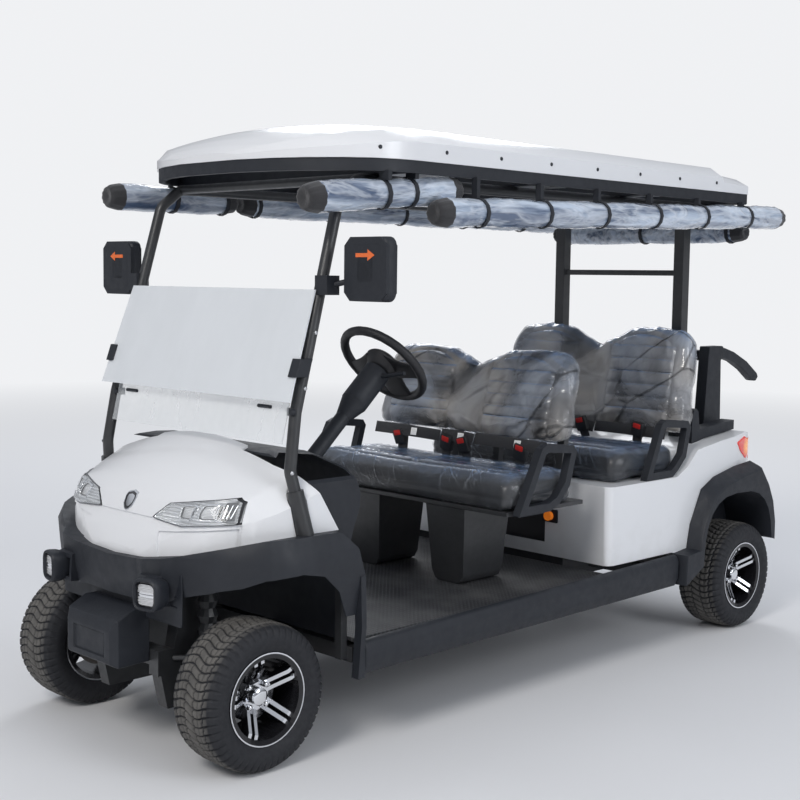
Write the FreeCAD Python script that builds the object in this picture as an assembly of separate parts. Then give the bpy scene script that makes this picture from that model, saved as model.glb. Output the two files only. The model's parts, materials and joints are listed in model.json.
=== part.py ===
import FreeCAD, Part
import math
import os

# Four-seat electric golf cart. Millimetres. +X is the vehicle's left, the front faces -Y, +Z is up.
# Stations Y are measured from the front axle, and heights Z from the ground.
# Every piece is moved at the end, so that the origin lies on the ground under the middle of the cart.

# Driving sizes of the running gear
WHEELBASE = 2603.0
FRONT_TRACK = 911.0
REAR_TRACK = 1049.0
TYRE_DIAMETER = 459.0
TYRE_WIDTH = 205.0
RIM_LIP_DIAMETER = 288.0
RIM_WIDTH = 184.0
RIM_WALL = 6.0
RIM_SEAT_DEPTH = 15.0
RIM_FLANGE = 8.0
HUB_FACE = 30.0
KINGPIN_X = 340.0
SPINDLE_RADIUS = 20.0
RUNNING_GAP = 0.6
SEAT_GAP = 0.3
SPOKE_PAIRS = 5
WHEEL_FLATS = 48

# Driving sizes of the body
FRONT_END_Y = -282.0
REAR_END_Y = WHEELBASE + 483.0
FLOOR_Z = 360.0
FLOOR_HALF_WIDTH = 568.0
FLOOR_THICKNESS = 14.0
FOOTWELL_FRONT_Y = 336.0
REAR_BOX_FRONT_Y = WHEELBASE - 903.0
PANEL_WALL = 5.0
FENDER_HALF_WIDTH = 602.0
SILL_HALF_WIDTH = 606.0
BODY_HALF_WIDTH = 556.0
FLARE_DEPTH = 80.0
# The rear wheel's opening: its middle, half width and height above the middle
ARCH_CENTRE_Y = WHEELBASE - 68.0
ARCH_CENTRE_Z = 290.0
ARCH_HALF_WIDTH = 275.0
ARCH_RISE = 315.0
ARCH_POWER = 2.9
SEAT_DECK_Z = 700.0

# Driving sizes of the frame
RAIL_X = 165.0
RAIL_WIDTH = 50.0
RAIL_TOP_Z = 330.0
RAIL_DEPTH = 80.0
RAIL_REAR_TOP_Z = 452.0
FRAME_REAR_Y = WHEELBASE + 282.0
HITCH_HOLE_RADIUS = 6.5
HITCH_HOLE_SPACING_X = 160.0
HITCH_HOLE_SPACING_Z = 40.0
HITCH_PLATE_THICKNESS = 10.0
TOWER_TOP_Z = 556.0
TOWER_PLATE = 20.0
DAMPER_X = 245.0

# Driving sizes of the canopy
ROOF_EDGE_Z = 1873.0
ROOF_TOP_Z = 2034.0
ROOF_HALF_WIDTH = 602.0
ROOF_FRONT_Y = 180.0
ROOF_REAR_Y = WHEELBASE + 1.0
ROOF_WALL = 5.0
ROOF_RAIL_DEPTH = 40.0
ROOF_RAIL_WIDTH = 18.0
ROOF_LIP = 4.0
POST_RADIUS = 19.0
POST_FOOT = (544.0, 153.7, 690.0)
ROOF_TUBE_Z = 1812.0
WELL_HALF_WIDTH = BODY_HALF_WIDTH - 138.0
REAR_POST_X = WELL_HALF_WIDTH - 92.0
REAR_POST_Y = WHEELBASE - 108.0
REAR_POST_SIDE = 50.0
ROLL_RADIUS = 46.0
ROLL_CAP_RADIUS = 36.0

# Driving sizes of the seats and the controls
SEAT_HALF_WIDTH = 560.0
CUSHION_DEPTH = 450.0
CUSHION_HEIGHT = 128.0
FRONT_SEAT_Y = REAR_BOX_FRONT_Y - 616.0
FRONT_SEAT_BASE_Z = 668.0
REAR_SEAT_Y = REAR_BOX_FRONT_Y + 66.0
REAR_SEAT_HALF_WIDTH = BODY_HALF_WIDTH - 24.0
BACK_THICKNESS = 92.0
STEERING_WHEEL_RADIUS = 175.0
STEERING_WHEEL_CENTRE = (250.0, 757.0, 1200.0)
STEERING_WHEEL_TILT = 42.7
STEERING_RIM_RADIUS = 14.0
TIE_ROD_Y = 105.0
TIE_ROD_Z = 150.0
TIE_ROD_END_X = 318.0

# Values that follow from them
WHEEL_Z = TYRE_DIAMETER / 2
FRONT_WHEEL_X = FRONT_TRACK / 2
REAR_WHEEL_X = REAR_TRACK / 2
MIDDLE_Y = (FRONT_END_Y + REAR_END_Y) / 2
RAIL_INNER_X = RAIL_X - RAIL_WIDTH / 2
RAIL_OUTER_X = RAIL_X + RAIL_WIDTH / 2


def at(x, y, z):
    return FreeCAD.Vector(x, y, z)


def box(x0, x1, y0, y1, z0, z1):
    return Part.makeBox(x1 - x0, y1 - y0, z1 - z0, at(x0, y0, z0))


def face_of(points):
    return Part.Face(Part.makePolygon(points + points[:1]))


def side_prism(outline, x0, x1):
    """An outline of (y, z) corners, as thick as from x0 to x1."""
    face = face_of([at(x0, y, z) for y, z in outline])
    return face.extrude(at(x1 - x0, 0, 0))


def front_prism(outline, y0, y1):
    """An outline of (x, z) corners, as deep as from y0 to y1."""
    face = face_of([at(x, y0, z) for x, z in outline])
    return face.extrude(at(0, y1 - y0, 0))


def plan_prism(outline, z0, z1):
    """An outline of (x, y) corners, as high as from z0 to z1."""
    face = face_of([at(x, y, z0) for x, y in outline])
    return face.extrude(at(0, 0, z1 - z0))


def from_rear_axle(outline):
    """Corners whose stations are counted back from the rear axle."""
    return [(y + WHEELBASE, z) for y, z in outline]


def mirrored(shape):
    return shape.mirror(at(0, 0, 0), at(1, 0, 0))


def fused(shapes):
    first, rest = shapes[0], shapes[1:]
    return first.fuse(rest).removeSplitter() if rest else first


def both_sides(shape):
    return Part.makeCompound([shape, mirrored(shape)])


def rod(start, end, radius):
    direction = end.sub(start)
    return Part.makeCylinder(radius, direction.Length, start, direction)


def bent_tube(points, radius, bend):
    """A round tube along straight runs, joined at each corner by an arc of the given bend radius."""
    pieces = []
    run_start = points[0]
    for before, corner, after in zip(points, points[1:], points[2:]):
        into = corner.sub(before).normalize()
        out = after.sub(corner).normalize()
        turn = into.getAngle(out)
        reach = bend * math.tan(turn / 2)
        arc_start = corner.sub(into * reach)
        inward = out.sub(into * into.dot(out)).normalize()
        section = Part.Face(Part.Wire(Part.Circle(arc_start, into, radius).toShape()))
        pieces.append(rod(run_start, arc_start, radius))
        pieces.append(section.revolve(arc_start.add(inward * bend), into.cross(inward), math.degrees(turn)))
        run_start = corner.add(out * reach)
    pieces.append(rod(run_start, points[-1], radius))
    return fused(pieces)


def straight_edges(points):
    return [Part.LineSegment(start, end).toShape() for start, end in zip(points, points[1:])]


def lofted(sections):
    """A solid through closed sections of equal corner counts, with straight lines between them."""
    wires = [Part.makePolygon(points + points[:1]) for points in sections]
    return Part.makeLoft(wires, True, True)


def save(name, shape):
    moved = shape.copy()
    moved.translate(at(0, -MIDDLE_Y, 0))
    moved.exportStep("parts/" + name + ".step")
    solids = moved.Solids
    print(name, len(solids), "solids", moved.isValid(), round(sum(s.Volume for s in solids) / 1e6, 2), "dm3")


# Chassis frame

def chassis_frame():
    rail_low = RAIL_TOP_Z - RAIL_DEPTH
    rear_low = RAIL_REAR_TOP_Z - RAIL_DEPTH
    kick_start_y = WHEELBASE - 453.0
    kick_end_y = WHEELBASE - 303.0
    rail_front_y = -150.0
    cross_side = 50.0
    rail_outline = [(rail_front_y, rail_low), (kick_start_y + 30, rail_low), (kick_end_y + 30, rear_low),
                    (FRAME_REAR_Y, rear_low), (FRAME_REAR_Y, RAIL_REAR_TOP_Z),
                    (kick_end_y, RAIL_REAR_TOP_Z), (kick_start_y, RAIL_TOP_Z), (rail_front_y, RAIL_TOP_Z)]
    rail = side_prism(rail_outline, RAIL_INNER_X, RAIL_OUTER_X)
    pieces = [rail, mirrored(rail)]
    # Cross members: station of the front face, half width, top
    cross_members = ((rail_front_y, RAIL_INNER_X, RAIL_TOP_Z), (330.0, 560.0, RAIL_TOP_Z),
                     (FRONT_SEAT_Y - 34, 560.0, RAIL_TOP_Z), (REAR_BOX_FRONT_Y - 60, 540.0, RAIL_TOP_Z),
                     (WHEELBASE - 543, 540.0, RAIL_TOP_Z), (WHEELBASE - 348, 400.0, RAIL_REAR_TOP_Z),
                     (FRAME_REAR_Y - cross_side, 400.0, RAIL_REAR_TOP_Z))
    for station, half_width, top in cross_members:
        pieces.append(box(-half_width, half_width, station, station + cross_side, top - cross_side, top))
    # Brackets below the rails carry the front suspension, and towers above them carry its dampers.
    for sign in (1, -1):
        inner, outer = sorted((sign * RAIL_INNER_X, sign * RAIL_OUTER_X))
        pieces.append(side_prism([(-115, 140), (84, 140), (140, rail_low + 1), (-140, rail_low + 1)],
                                 inner, outer))
        pieces.append(side_prism([(-90, RAIL_TOP_Z - 1), (90, RAIL_TOP_Z - 1), (45, TOWER_TOP_Z),
                                  (-45, TOWER_TOP_Z)], inner, outer))
        arm_inner, arm_outer = sorted((sign * (RAIL_OUTER_X - 1), sign * (DAMPER_X + 32)))
        pieces.append(box(arm_inner, arm_outer, -45, 45, TOWER_TOP_Z - TOWER_PLATE, TOWER_TOP_Z))
    # Stays that rise before the footwell and carry the front canopy posts
    stay_top = POST_FOOT[2] - 9
    stay_outline = [(302, rail_low + 40), (331, rail_low + 40), (331, RAIL_TOP_Z), (327, 336), (327, 566),
                    (POST_FOOT[1] + 30, stay_top), (POST_FOOT[1] - 16, stay_top), (302, 556)]
    for sign in (1, -1):
        inner, outer = sorted((sign * (POST_FOOT[0] - 34), sign * (POST_FOOT[0] - 4)))
        pieces.append(side_prism(stay_outline, inner, outer))
    plate_rear_y = FRAME_REAR_Y + HITCH_PLATE_THICKNESS
    plate = box(-120, 120, FRAME_REAR_Y - 1, plate_rear_y, rear_low, RAIL_REAR_TOP_Z)
    frame = fused(pieces + [plate])
    holes = []
    middle_z = (rear_low + RAIL_REAR_TOP_Z) / 2
    for x in (-HITCH_HOLE_SPACING_X / 2, HITCH_HOLE_SPACING_X / 2):
        for z in (middle_z - HITCH_HOLE_SPACING_Z / 2, middle_z + HITCH_HOLE_SPACING_Z / 2):
            start, end = at(x, FRAME_REAR_Y - 60, z), at(x, FRAME_REAR_Y + 20, z)
            holes.append(rod(start, end, HITCH_HOLE_RADIUS))
    return frame.cut(holes)


# Wheels, each modelled about its own centre with the axle along X and its face towards +X

def turned(profile, flats):
    """A ring about the X axis from closed (axial, radial) corners, with its round made of equal flats."""
    stations = []
    for index in range(flats):
        angle = 2 * math.pi * index / flats
        sine, cosine = math.sin(angle), math.cos(angle)
        stations.append([at(axial, radial * sine, radial * cosine) for axial, radial in profile])
    faces = []
    for here, there in zip(stations, stations[1:] + stations[:1]):
        for first in range(len(profile)):
            second = (first + 1) % len(profile)
            corners = [here[first], here[second], there[second], there[first]]
            kept = [point for place, point in enumerate(corners)
                    if not point.isEqual(corners[place - 1], 0.001)]
            if len(kept) > 2:
                faces.append(face_of(kept))
    return Part.makeSolid(Part.makeShell(faces))


def tyre_ring():
    half = TYRE_WIDTH / 2
    crown = TYRE_DIAMETER / 2
    bead = (RIM_LIP_DIAMETER / 2 - RIM_SEAT_DEPTH + SEAT_GAP) / math.cos(math.pi / WHEEL_FLATS)
    flange = RIM_WIDTH / 2 - RIM_FLANGE
    # From the bead over the bulging sidewall and the shoulder to the crown: axial, radial
    half_profile = [(flange - SEAT_GAP, bead), (flange + 1.6, bead + 17), (half - 8, bead + 34),
                    (half, crown - 44),
                    (half - 3, crown - 22), (half - 14, crown - 7), (half - 40, crown)]
    profile = half_profile + [(-axial, radial) for axial, radial in reversed(half_profile)]
    return turned(profile, WHEEL_FLATS)


def alloy_rim():
    """A chromed alloy wheel: a flanged barrel, a recessed hub and five pairs of rising spokes."""
    half = RIM_WIDTH / 2
    lip = RIM_LIP_DIAMETER / 2
    seat = lip - RIM_SEAT_DEPTH
    barrel = turned([(-half, lip), (-half + 6, lip), (-half + RIM_FLANGE, seat), (half - RIM_FLANGE, seat),
                     (half - 6, lip), (half, lip), (half, lip - 5), (half - 4, seat - RIM_WALL + 2),
                     (-half + 3, seat - RIM_WALL + 2), (-half, lip - 5)], WHEEL_FLATS)
    hub_radius = 48.0
    cap_radius = 27.0
    drum_radius = 84.0
    drum_back = -58.0
    hub = Part.makeCylinder(hub_radius, 18, at(HUB_FACE - 18, 0, 0), at(1, 0, 0))
    cap = Part.makeCone(cap_radius, cap_radius - 5, 20, at(HUB_FACE - 1, 0, 0), at(1, 0, 0))
    drum = Part.makeCylinder(drum_radius, HUB_FACE - 17 - drum_back, at(drum_back, 0, 0), at(1, 0, 0))
    # One spoke: outline in the plane of radius and axle, foot at the hub and head at the lip
    foot_radius = 36.0
    head_radius = seat - RIM_WALL + 3.0
    spoke_outline = [(HUB_FACE - 16, foot_radius), (HUB_FACE, foot_radius), (HUB_FACE + 12, foot_radius + 22),
                     (half - 14, head_radius - 16), (half - 12, head_radius), (half - 44, head_radius),
                     (half - 52, head_radius - 14)]
    spoke_width = 13.0
    slot_half = 6.5
    web_outline = [(HUB_FACE - 16, foot_radius), (HUB_FACE, foot_radius), (HUB_FACE + 9, foot_radius + 20),
                   (HUB_FACE - 4, foot_radius + 24)]
    pieces = [barrel, hub, cap, drum]
    for pair in range(SPOKE_PAIRS):
        angle = pair * 360.0 / SPOKE_PAIRS + 12.0
        for offset in (slot_half, -slot_half - spoke_width):
            spoke = face_of([at(axial, offset, radial) for axial, radial in spoke_outline])
            spoke = spoke.extrude(at(0, spoke_width, 0))
            spoke.rotate(at(0, 0, 0), at(1, 0, 0), angle)
            pieces.append(spoke)
        web = face_of([at(axial, -slot_half - 1, radial) for axial, radial in web_outline])
        web = web.extrude(at(0, 2 * slot_half + 2, 0))
        web.rotate(at(0, 0, 0), at(1, 0, 0), angle)
        pieces.append(web)
    bore_depth = HUB_FACE - drum_back - 8
    bore = Part.makeCylinder(SPINDLE_RADIUS + RUNNING_GAP, bore_depth, at(drum_back - 1, 0, 0), at(1, 0, 0))
    return fused(pieces).cut(bore)


def placed_wheel(shape, x, y, left):
    wheel = shape.copy() if left else mirrored(shape)
    wheel.translate(at(x if left else -x, y, WHEEL_Z))
    return wheel


# Front suspension and steering

UPPER_EYE_Z = 318.0
LOWER_EYE_Z = 141.0
EYE_THICKNESS = 20.0
EYE_RADIUS = 19.0
BACKING_PLATE_RADIUS = 90.0


def wishbone(eye_z, pivot_y, pivot_z, radius):
    """An arm of two rods that run from the frame to one eye at the kingpin."""
    eye = at(KINGPIN_X, 0, eye_z)
    pieces = [Part.makeCylinder(EYE_RADIUS, EYE_THICKNESS, eye.sub(at(0, 0, EYE_THICKNESS / 2)))]
    for y in (-pivot_y, pivot_y):
        pieces.append(rod(at(RAIL_OUTER_X - 2, y, pivot_z), at(KINGPIN_X - 8, 0, eye_z), radius))
    return pieces


def coil_over():
    """Damper and coil as one turned form: a core with a bulge for each turn of the coil."""
    core, bulge, flats = 24.0, 34.0, 12
    foot_z, head_z = 176.0, TOWER_TOP_Z - TOWER_PLATE - SEAT_GAP
    first_turn, last_turn, turns = 216.0, 506.0, 6
    pitch = (last_turn - first_turn) / turns
    profile = [(foot_z - 14, 0), (foot_z - 14, 16), (foot_z + 26, 16), (foot_z + 30, bulge)]
    for index in range(turns):
        z = first_turn + index * pitch
        profile += [(z, core), (z + pitch / 2, bulge)]
    profile += [(last_turn, core), (last_turn + 8, bulge), (last_turn + 12, 12), (head_z, 12), (head_z, 0)]
    form = turned(profile, flats)
    form.rotate(at(0, 0, 0), at(0, 1, 0), -90)
    return form.translated(at(DAMPER_X, 0, 0))


def front_suspension():
    """Lower and upper arms from the frame to the kingpin, with a coil-over damper on the lower ones."""
    frame = chassis_frame()
    seat_plate = box(DAMPER_X - 20, DAMPER_X + 18, -54, 54, 148, 164)
    lower = fused(wishbone(LOWER_EYE_Z, 80.0, 158.0, 10.0) + [seat_plate, coil_over()])
    upper = fused(wishbone(UPPER_EYE_Z, 90.0, 300.0, 9.0))
    boss_room = Part.makeCylinder(EYE_RADIUS + 2, UPPER_EYE_Z - LOWER_EYE_Z - EYE_THICKNESS,
                                  at(KINGPIN_X, 0, LOWER_EYE_Z + EYE_THICKNESS / 2))
    solids = []
    for shape in (lower, upper):
        trimmed = shape.cut([frame, boss_room])
        solids += [trimmed, mirrored(trimmed)]
    return Part.makeCompound(solids)


def knuckle():
    """The left upright: kingpin boss, steering arm, backing plate and the spindle through the hub."""
    low = LOWER_EYE_Z + EYE_THICKNESS / 2 + RUNNING_GAP
    high = UPPER_EYE_Z - EYE_THICKNESS / 2 - RUNNING_GAP
    boss = Part.makeCylinder(17, high - low, at(KINGPIN_X, 0, low))
    plate_x = FRONT_WHEEL_X - 76.0
    backing = Part.makeCylinder(BACKING_PLATE_RADIUS, 8, at(plate_x, 0, WHEEL_Z), at(1, 0, 0))
    carrier = box(KINGPIN_X, plate_x + 2, -30, 30, WHEEL_Z - 45, WHEEL_Z + 45)
    spindle = rod(at(plate_x, 0, WHEEL_Z), at(FRONT_WHEEL_X + HUB_FACE - 14, 0, WHEEL_Z), SPINDLE_RADIUS)
    arm_low = TIE_ROD_Z + 11 + RUNNING_GAP
    arm = plan_prism([(KINGPIN_X - 14, 4), (KINGPIN_X + 10, 12), (TIE_ROD_END_X + 14, TIE_ROD_Y + 12),
                      (TIE_ROD_END_X - 12, TIE_ROD_Y + 12), (TIE_ROD_END_X - 14, TIE_ROD_Y - 12)],
                     arm_low, arm_low + 14)
    return fused([boss, backing, carrier, spindle, arm])


def tie_rod():
    end = at(TIE_ROD_END_X, TIE_ROD_Y, TIE_ROD_Z)
    bar = rod(at(-TIE_ROD_END_X, TIE_ROD_Y, TIE_ROD_Z), end, 9)
    for sign in (1, -1):
        bar = bar.fuse(Part.makeCylinder(15, 22, at(sign * TIE_ROD_END_X, TIE_ROD_Y, TIE_ROD_Z - 11)))
    return bar.removeSplitter()


# Rear axle and springs

SPRING_X = 352.0
SPRING_WIDTH = 48.0
AXLE_TUBE_RADIUS = 36.0


def rear_axle():
    """One housing with the drive motor on it as a plain block, and a stub shaft for each wheel."""
    end_x = REAR_WHEEL_X - 76.0
    tube = rod(at(-end_x, WHEELBASE, WHEEL_Z), at(end_x, WHEELBASE, WHEEL_Z), AXLE_TUBE_RADIUS)
    case = Part.makeCylinder(98, 90, at(-25, WHEELBASE, WHEEL_Z + 10), at(1, 0, 0))
    motor = Part.makeCylinder(88, 240, at(-262, WHEELBASE - 118, WHEEL_Z + 42), at(1, 0, 0))
    bridge = box(-30, 30, WHEELBASE - 150, WHEELBASE, WHEEL_Z - 20, WHEEL_Z + 90)
    pieces = [tube, case, motor, bridge]
    for sign in (1, -1):
        direction, tube_end = at(sign, 0, 0), at(sign * end_x, WHEELBASE, WHEEL_Z)
        pieces.append(Part.makeCylinder(BACKING_PLATE_RADIUS, 8, tube_end, direction))
        stub = HUB_FACE - 14 + 76.0
        pieces.append(Part.makeCylinder(SPINDLE_RADIUS, stub, tube_end, direction))
    return fused(pieces)


def arc_band(centre_y, half_span, middle_z, end_z, thickness, x0, x1):
    """A curved strip seen from the side: its middle at one height and its ends at another."""
    lower = Part.Arc(at(x0, centre_y - half_span, end_z), at(x0, centre_y, middle_z),
                     at(x0, centre_y + half_span, end_z)).toShape()
    upper = Part.Arc(at(x0, centre_y + half_span, end_z + thickness), at(x0, centre_y, middle_z + thickness),
                     at(x0, centre_y - half_span, end_z + thickness)).toShape()
    right = Part.LineSegment(at(x0, centre_y + half_span, end_z),
                             at(x0, centre_y + half_span, end_z + thickness)).toShape()
    left = Part.LineSegment(at(x0, centre_y - half_span, end_z + thickness),
                            at(x0, centre_y - half_span, end_z)).toShape()
    return Part.Face(Part.Wire([lower, right, upper, left])).extrude(at(x1 - x0, 0, 0))


def rear_springs():
    """Leaf packs on the axle, hung from the frame's cross members, each with a damper beside it."""
    seat_z = WHEEL_Z + AXLE_TUBE_RADIUS + SEAT_GAP
    eye_z = 352.0
    span = 300.0
    low, high = SPRING_X - SPRING_WIDTH / 2, SPRING_X + SPRING_WIDTH / 2
    pad = box(low - 6, high + 6, WHEELBASE - 50, WHEELBASE + 50, seat_z, seat_z + 9)
    second = arc_band(WHEELBASE, span * 0.6, seat_z + 8, seat_z + 30, 9, low, high)
    main = arc_band(WHEELBASE, span, seat_z + 16, eye_z, 9, low, high)
    front_y, rear_y, hanger_top = WHEELBASE - span - 20, WHEELBASE + span - 62, RAIL_REAR_TOP_Z - 50
    hanger_front = box(low, high, front_y, front_y + 40, eye_z - 8, hanger_top)
    hanger_rear = box(low, high, rear_y, rear_y + 40, eye_z - 22, hanger_top)
    spring = fused([pad, second, main, hanger_front, hanger_rear])
    damper_x = SPRING_X - 62
    bracket_y = WHEELBASE + AXLE_TUBE_RADIUS + SEAT_GAP
    damper_foot, damper_head = at(damper_x, WHEELBASE + 90, WHEEL_Z + 2), at(damper_x, WHEELBASE + 238, 410)
    bracket = box(damper_x - 22, damper_x + 22, bracket_y, WHEELBASE + 112, WHEEL_Z - 6, WHEEL_Z + 12)
    damper = rod(damper_foot, damper_head, 17).fuse(bracket)
    damper = damper.cut(chassis_frame())
    return Part.makeCompound([spring, mirrored(spring), damper, mirrored(damper)])


# Floor, sills and the front of the body

def floor_pan():
    """Pressed floor from the toe board to the rear box, with shallow ribs along it."""
    plate = box(-FLOOR_HALF_WIDTH, FLOOR_HALF_WIDTH, FOOTWELL_FRONT_Y, REAR_BOX_FRONT_Y - SEAT_GAP,
                FLOOR_Z - FLOOR_THICKNESS, FLOOR_Z)
    ribs = []
    rib_pitch = 95.0
    rib_count = 5
    for index in range(-rib_count, rib_count + 1):
        x = index * rib_pitch
        ribs.append(box(x - 20, x + 20, FOOTWELL_FRONT_Y + 60, REAR_BOX_FRONT_Y - 60,
                        RAIL_TOP_Z, FLOOR_Z - FLOOR_THICKNESS + 1))
    # The ribs stand on the frame's cross members and rails.
    return fused([plate] + ribs)


def sill_section(y, low, top):
    return [at(FLOOR_HALF_WIDTH + SEAT_GAP, y, low + 6), at(SILL_HALF_WIDTH - 16, y, low),
            at(SILL_HALF_WIDTH - 2, y, low + 34), at(SILL_HALF_WIDTH, y, top - 26),
            at(SILL_HALF_WIDTH - 10, y, top - 4), at(FLOOR_HALF_WIDTH + 12, y, top + 2),
            at(FLOOR_HALF_WIDTH + SEAT_GAP, y, top)]


SILL_FRONT_Y = 352.0
SILL_REAR_Y = WHEELBASE - 483.0


def sills():
    sill = lofted([sill_section(SILL_FRONT_Y, 244, 353), sill_section(SILL_REAR_Y, 254, 382)])
    return both_sides(sill)


FOG_X = 236.0
FOG_Z = 543.0
FOG_SIDE = 62.0

# Half plan of the front mouldings, from the centre line back: x, y
BUMPER_PLAN = ((0, -212), (158, -208), (196, -214), (276, -206), (318, -170), (430, -128), (520, -78),
               (576, -10), (598, 70), (FENDER_HALF_WIDTH, 170), (FENDER_HALF_WIDTH, 352))


def plan_points(half_plan, inset, z):
    """The closed outline of a half plan at one height, pulled in towards the middle by the inset."""
    right = []
    for x, y in half_plan:
        right.append((max(x - inset, 0) if x else 0, min(y + inset, half_plan[-1][1])))
    left = [(-x, y) for x, y in reversed(right) if x]
    return [at(x, y, z) for x, y in right + left]


def bumper_form(inset):
    """The front moulding's outer form: leaning in above and below the crease round its middle."""
    levels = ((440.0, 26.0), (560.0, 5.0), (652.0, 0.0), (745.0, 30.0))
    return lofted([plan_points(BUMPER_PLAN, lean + inset, z) for z, lean in levels])


# Upper edge of the front moulding, seen from the front: x, z
BUMPER_TOP = ((0, 622), (158, 630), (300, 650), (450, 688), (540, 713), (FENDER_HALF_WIDTH + 10, 716))
# Lower edge of the front moulding and the wheel's opening, seen from the side: y, z
ARCH_EDGE = ((-250, 492), (-195, 494), (-110, 560), (-20, 598), (94, 606), (180, 588), (246, 530), (290, 440),
             (322, 352), (336, 262), (336, 236))
# Upper edge of the fender behind its crown, seen from the side: y, z
FENDER_TAIL = ((SILL_FRONT_Y - SEAT_GAP, 236), (SILL_FRONT_Y - SEAT_GAP, 358), (358, 400), (352, 566),
               (318, 660), (268, 708), (236, 722), (236, 790), (-250, 790))


def band_under(edge_line, depth, y0, y1):
    """A slab as deep as stated under a front-view edge line, on both sides of the middle."""
    right = list(edge_line)
    full = [(-x, z) for x, z in reversed(right[1:])] + right
    lowered = [(x, z - depth) for x, z in reversed(full)]
    return front_prism(full + lowered, y0, y1)


def front_moulding():
    """Bumper band and both fenders as one shell, open inside for the wheels and the nose."""
    outer = bumper_form(0)
    hollow = bumper_form(PANEL_WALL).common(box(-700, 700, -300, 400, 400, 800))
    shell = outer.cut(hollow)
    ledge_depth = 4.0
    ledge = band_under(BUMPER_TOP, ledge_depth, -300, 300).common(outer).cut(nose_form(18.0))
    side_outline = side_prism(list(ARCH_EDGE) + list(FENDER_TAIL), -700, 700)
    everything_below = band_under(BUMPER_TOP, 500.0, -320, 400)
    tail_y = SILL_FRONT_Y - SEAT_GAP
    skirt_outline = [(322, 236), (tail_y, 236), (tail_y, 358), (357, 400), (351, 566), (330, 566), (336, 400)]
    skirt = side_prism(skirt_outline, FLOOR_HALF_WIDTH + SEAT_GAP, FENDER_HALF_WIDTH - 2)
    moulding = fused([shell, ledge]).common(everything_below).common(side_outline)
    moulding = fused([moulding, skirt, mirrored(skirt)])
    # The back of the shell is open between the skirts, where the floor begins.
    opening = box(-FENDER_HALF_WIDTH + 40, FENDER_HALF_WIDTH - 40, 300, 420, 200, 800)
    pods = []
    for sign in (1, -1):
        x0, x1 = sorted((sign * (FOG_X - FOG_SIDE / 2 - 12), sign * (FOG_X + FOG_SIDE / 2 + 12)))
        pods.append(side_prism([(-226, 500), (-220, 588), (-180, 600), (-150, 560), (-150, 492)], x0, x1))
    moulding = fused([moulding.cut(opening)] + pods)
    for sign in (1, -1):
        x0, x1 = sorted((sign * (FOG_X - FOG_SIDE / 2), sign * (FOG_X + FOG_SIDE / 2)))
        moulding = moulding.cut(box(x0, x1, -260, -196, FOG_Z - FOG_SIDE / 2, FOG_Z + FOG_SIDE / 2))
    sleeve_room = post_sleeve(SLEEVE_RADIUS + SEAT_GAP)
    return moulding.cut([sleeve_room, mirrored(sleeve_room)])


# Nose sections from the front back: y, half width, height of the side's shoulder, crown, foot
NOSE_SECTIONS = ((-184, 150, 636, 650, 520), (-160, 262, 695, 706, 520), (-134, 330, 735, 762, 520),
                 (-112, 372, 778, 802, 520), (-60, 432, 812, 858, 520), (0, 474, 822, 900, 520),
                 (60, 506, 842, 935, 520), (140, 532, 872, 968, 520), (182, 540, 892, 982, 520),
                 (300, 548, 915, 990, 520))
# Half of the chin, which lies a step below the hood's skin, and the panel sunk under the lamp: x, z
CHIN_OUTLINE = ((140, 748), (289, 738), (455, 752), (447, 560))
SUNK_PANEL = ((190, 712), (446, 741), (440, 560), (232, 560))
CHIN_STEP = 3.5
PANEL_STEP = 8.0


def nose_form(inset):
    """The nose as a loft of crowned sections, each pulled in by the inset."""
    wires = []
    for y, half, shoulder, crown, foot in NOSE_SECTIONS:
        w = half - inset
        station = y + inset
        s = shoulder - inset
        c = crown - inset
        low_left = at(-w, station, foot)
        left = at(-w, station, s - 60)
        left_shoulder = at(-w * 0.90, station, s)
        right_shoulder = at(w * 0.90, station, s)
        right = at(w, station, s - 60)
        low_right = at(w, station, foot)
        crowned = Part.Arc(left_shoulder, at(0, station, c), right_shoulder).toShape()
        wires.append(Part.Wire(straight_edges([low_left, left, left_shoulder]) + [crowned]
                               + straight_edges([right_shoulder, right, low_right, low_left])))
    return Part.makeLoft(wires, True, True)


# Rear edge of the nose panel, seen from the side: y, z
NOSE_REAR_EDGE = ((138, 1100), (138, 968), (150, 912), (200, 848), (286, 706), (300, 500))
# Left headlamp, seen from the front: x, z
HEADLAMP_OUTLINE = ((140, 748), (200, 798), (413, 829), (436, 818), (455, 754), (289, 738))


def headlamp_prism(grow):
    cx, cz = 320.0, 778.0
    points = []
    for x, z in HEADLAMP_OUTLINE:
        points.append((x + grow * (1 if x > cx else -1), z + grow * 0.5 * (1 if z > cz else -1)))
    return front_prism(points, -260, 120)


def stepped_nose(inset):
    """The nose with its chin a step back and a panel sunk deeper under each lamp."""
    form = nose_form(inset)
    chin = [(-x, z) for x, z in reversed(CHIN_OUTLINE)] + list(CHIN_OUTLINE)
    left = list(SUNK_PANEL)
    # Forms let into the skin: outline, step
    for outline, step in ((chin, CHIN_STEP), (left, PANEL_STEP), ([(-x, z) for x, z in left], PANEL_STEP)):
        face = face_of([at(x, -260, z) for x, z in outline])
        if inset:
            face = face.makeOffset2D(inset)
        form = form.cut(face.extrude(at(0, 320, 0)).cut(nose_form(inset + step)))
    return form


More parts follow.
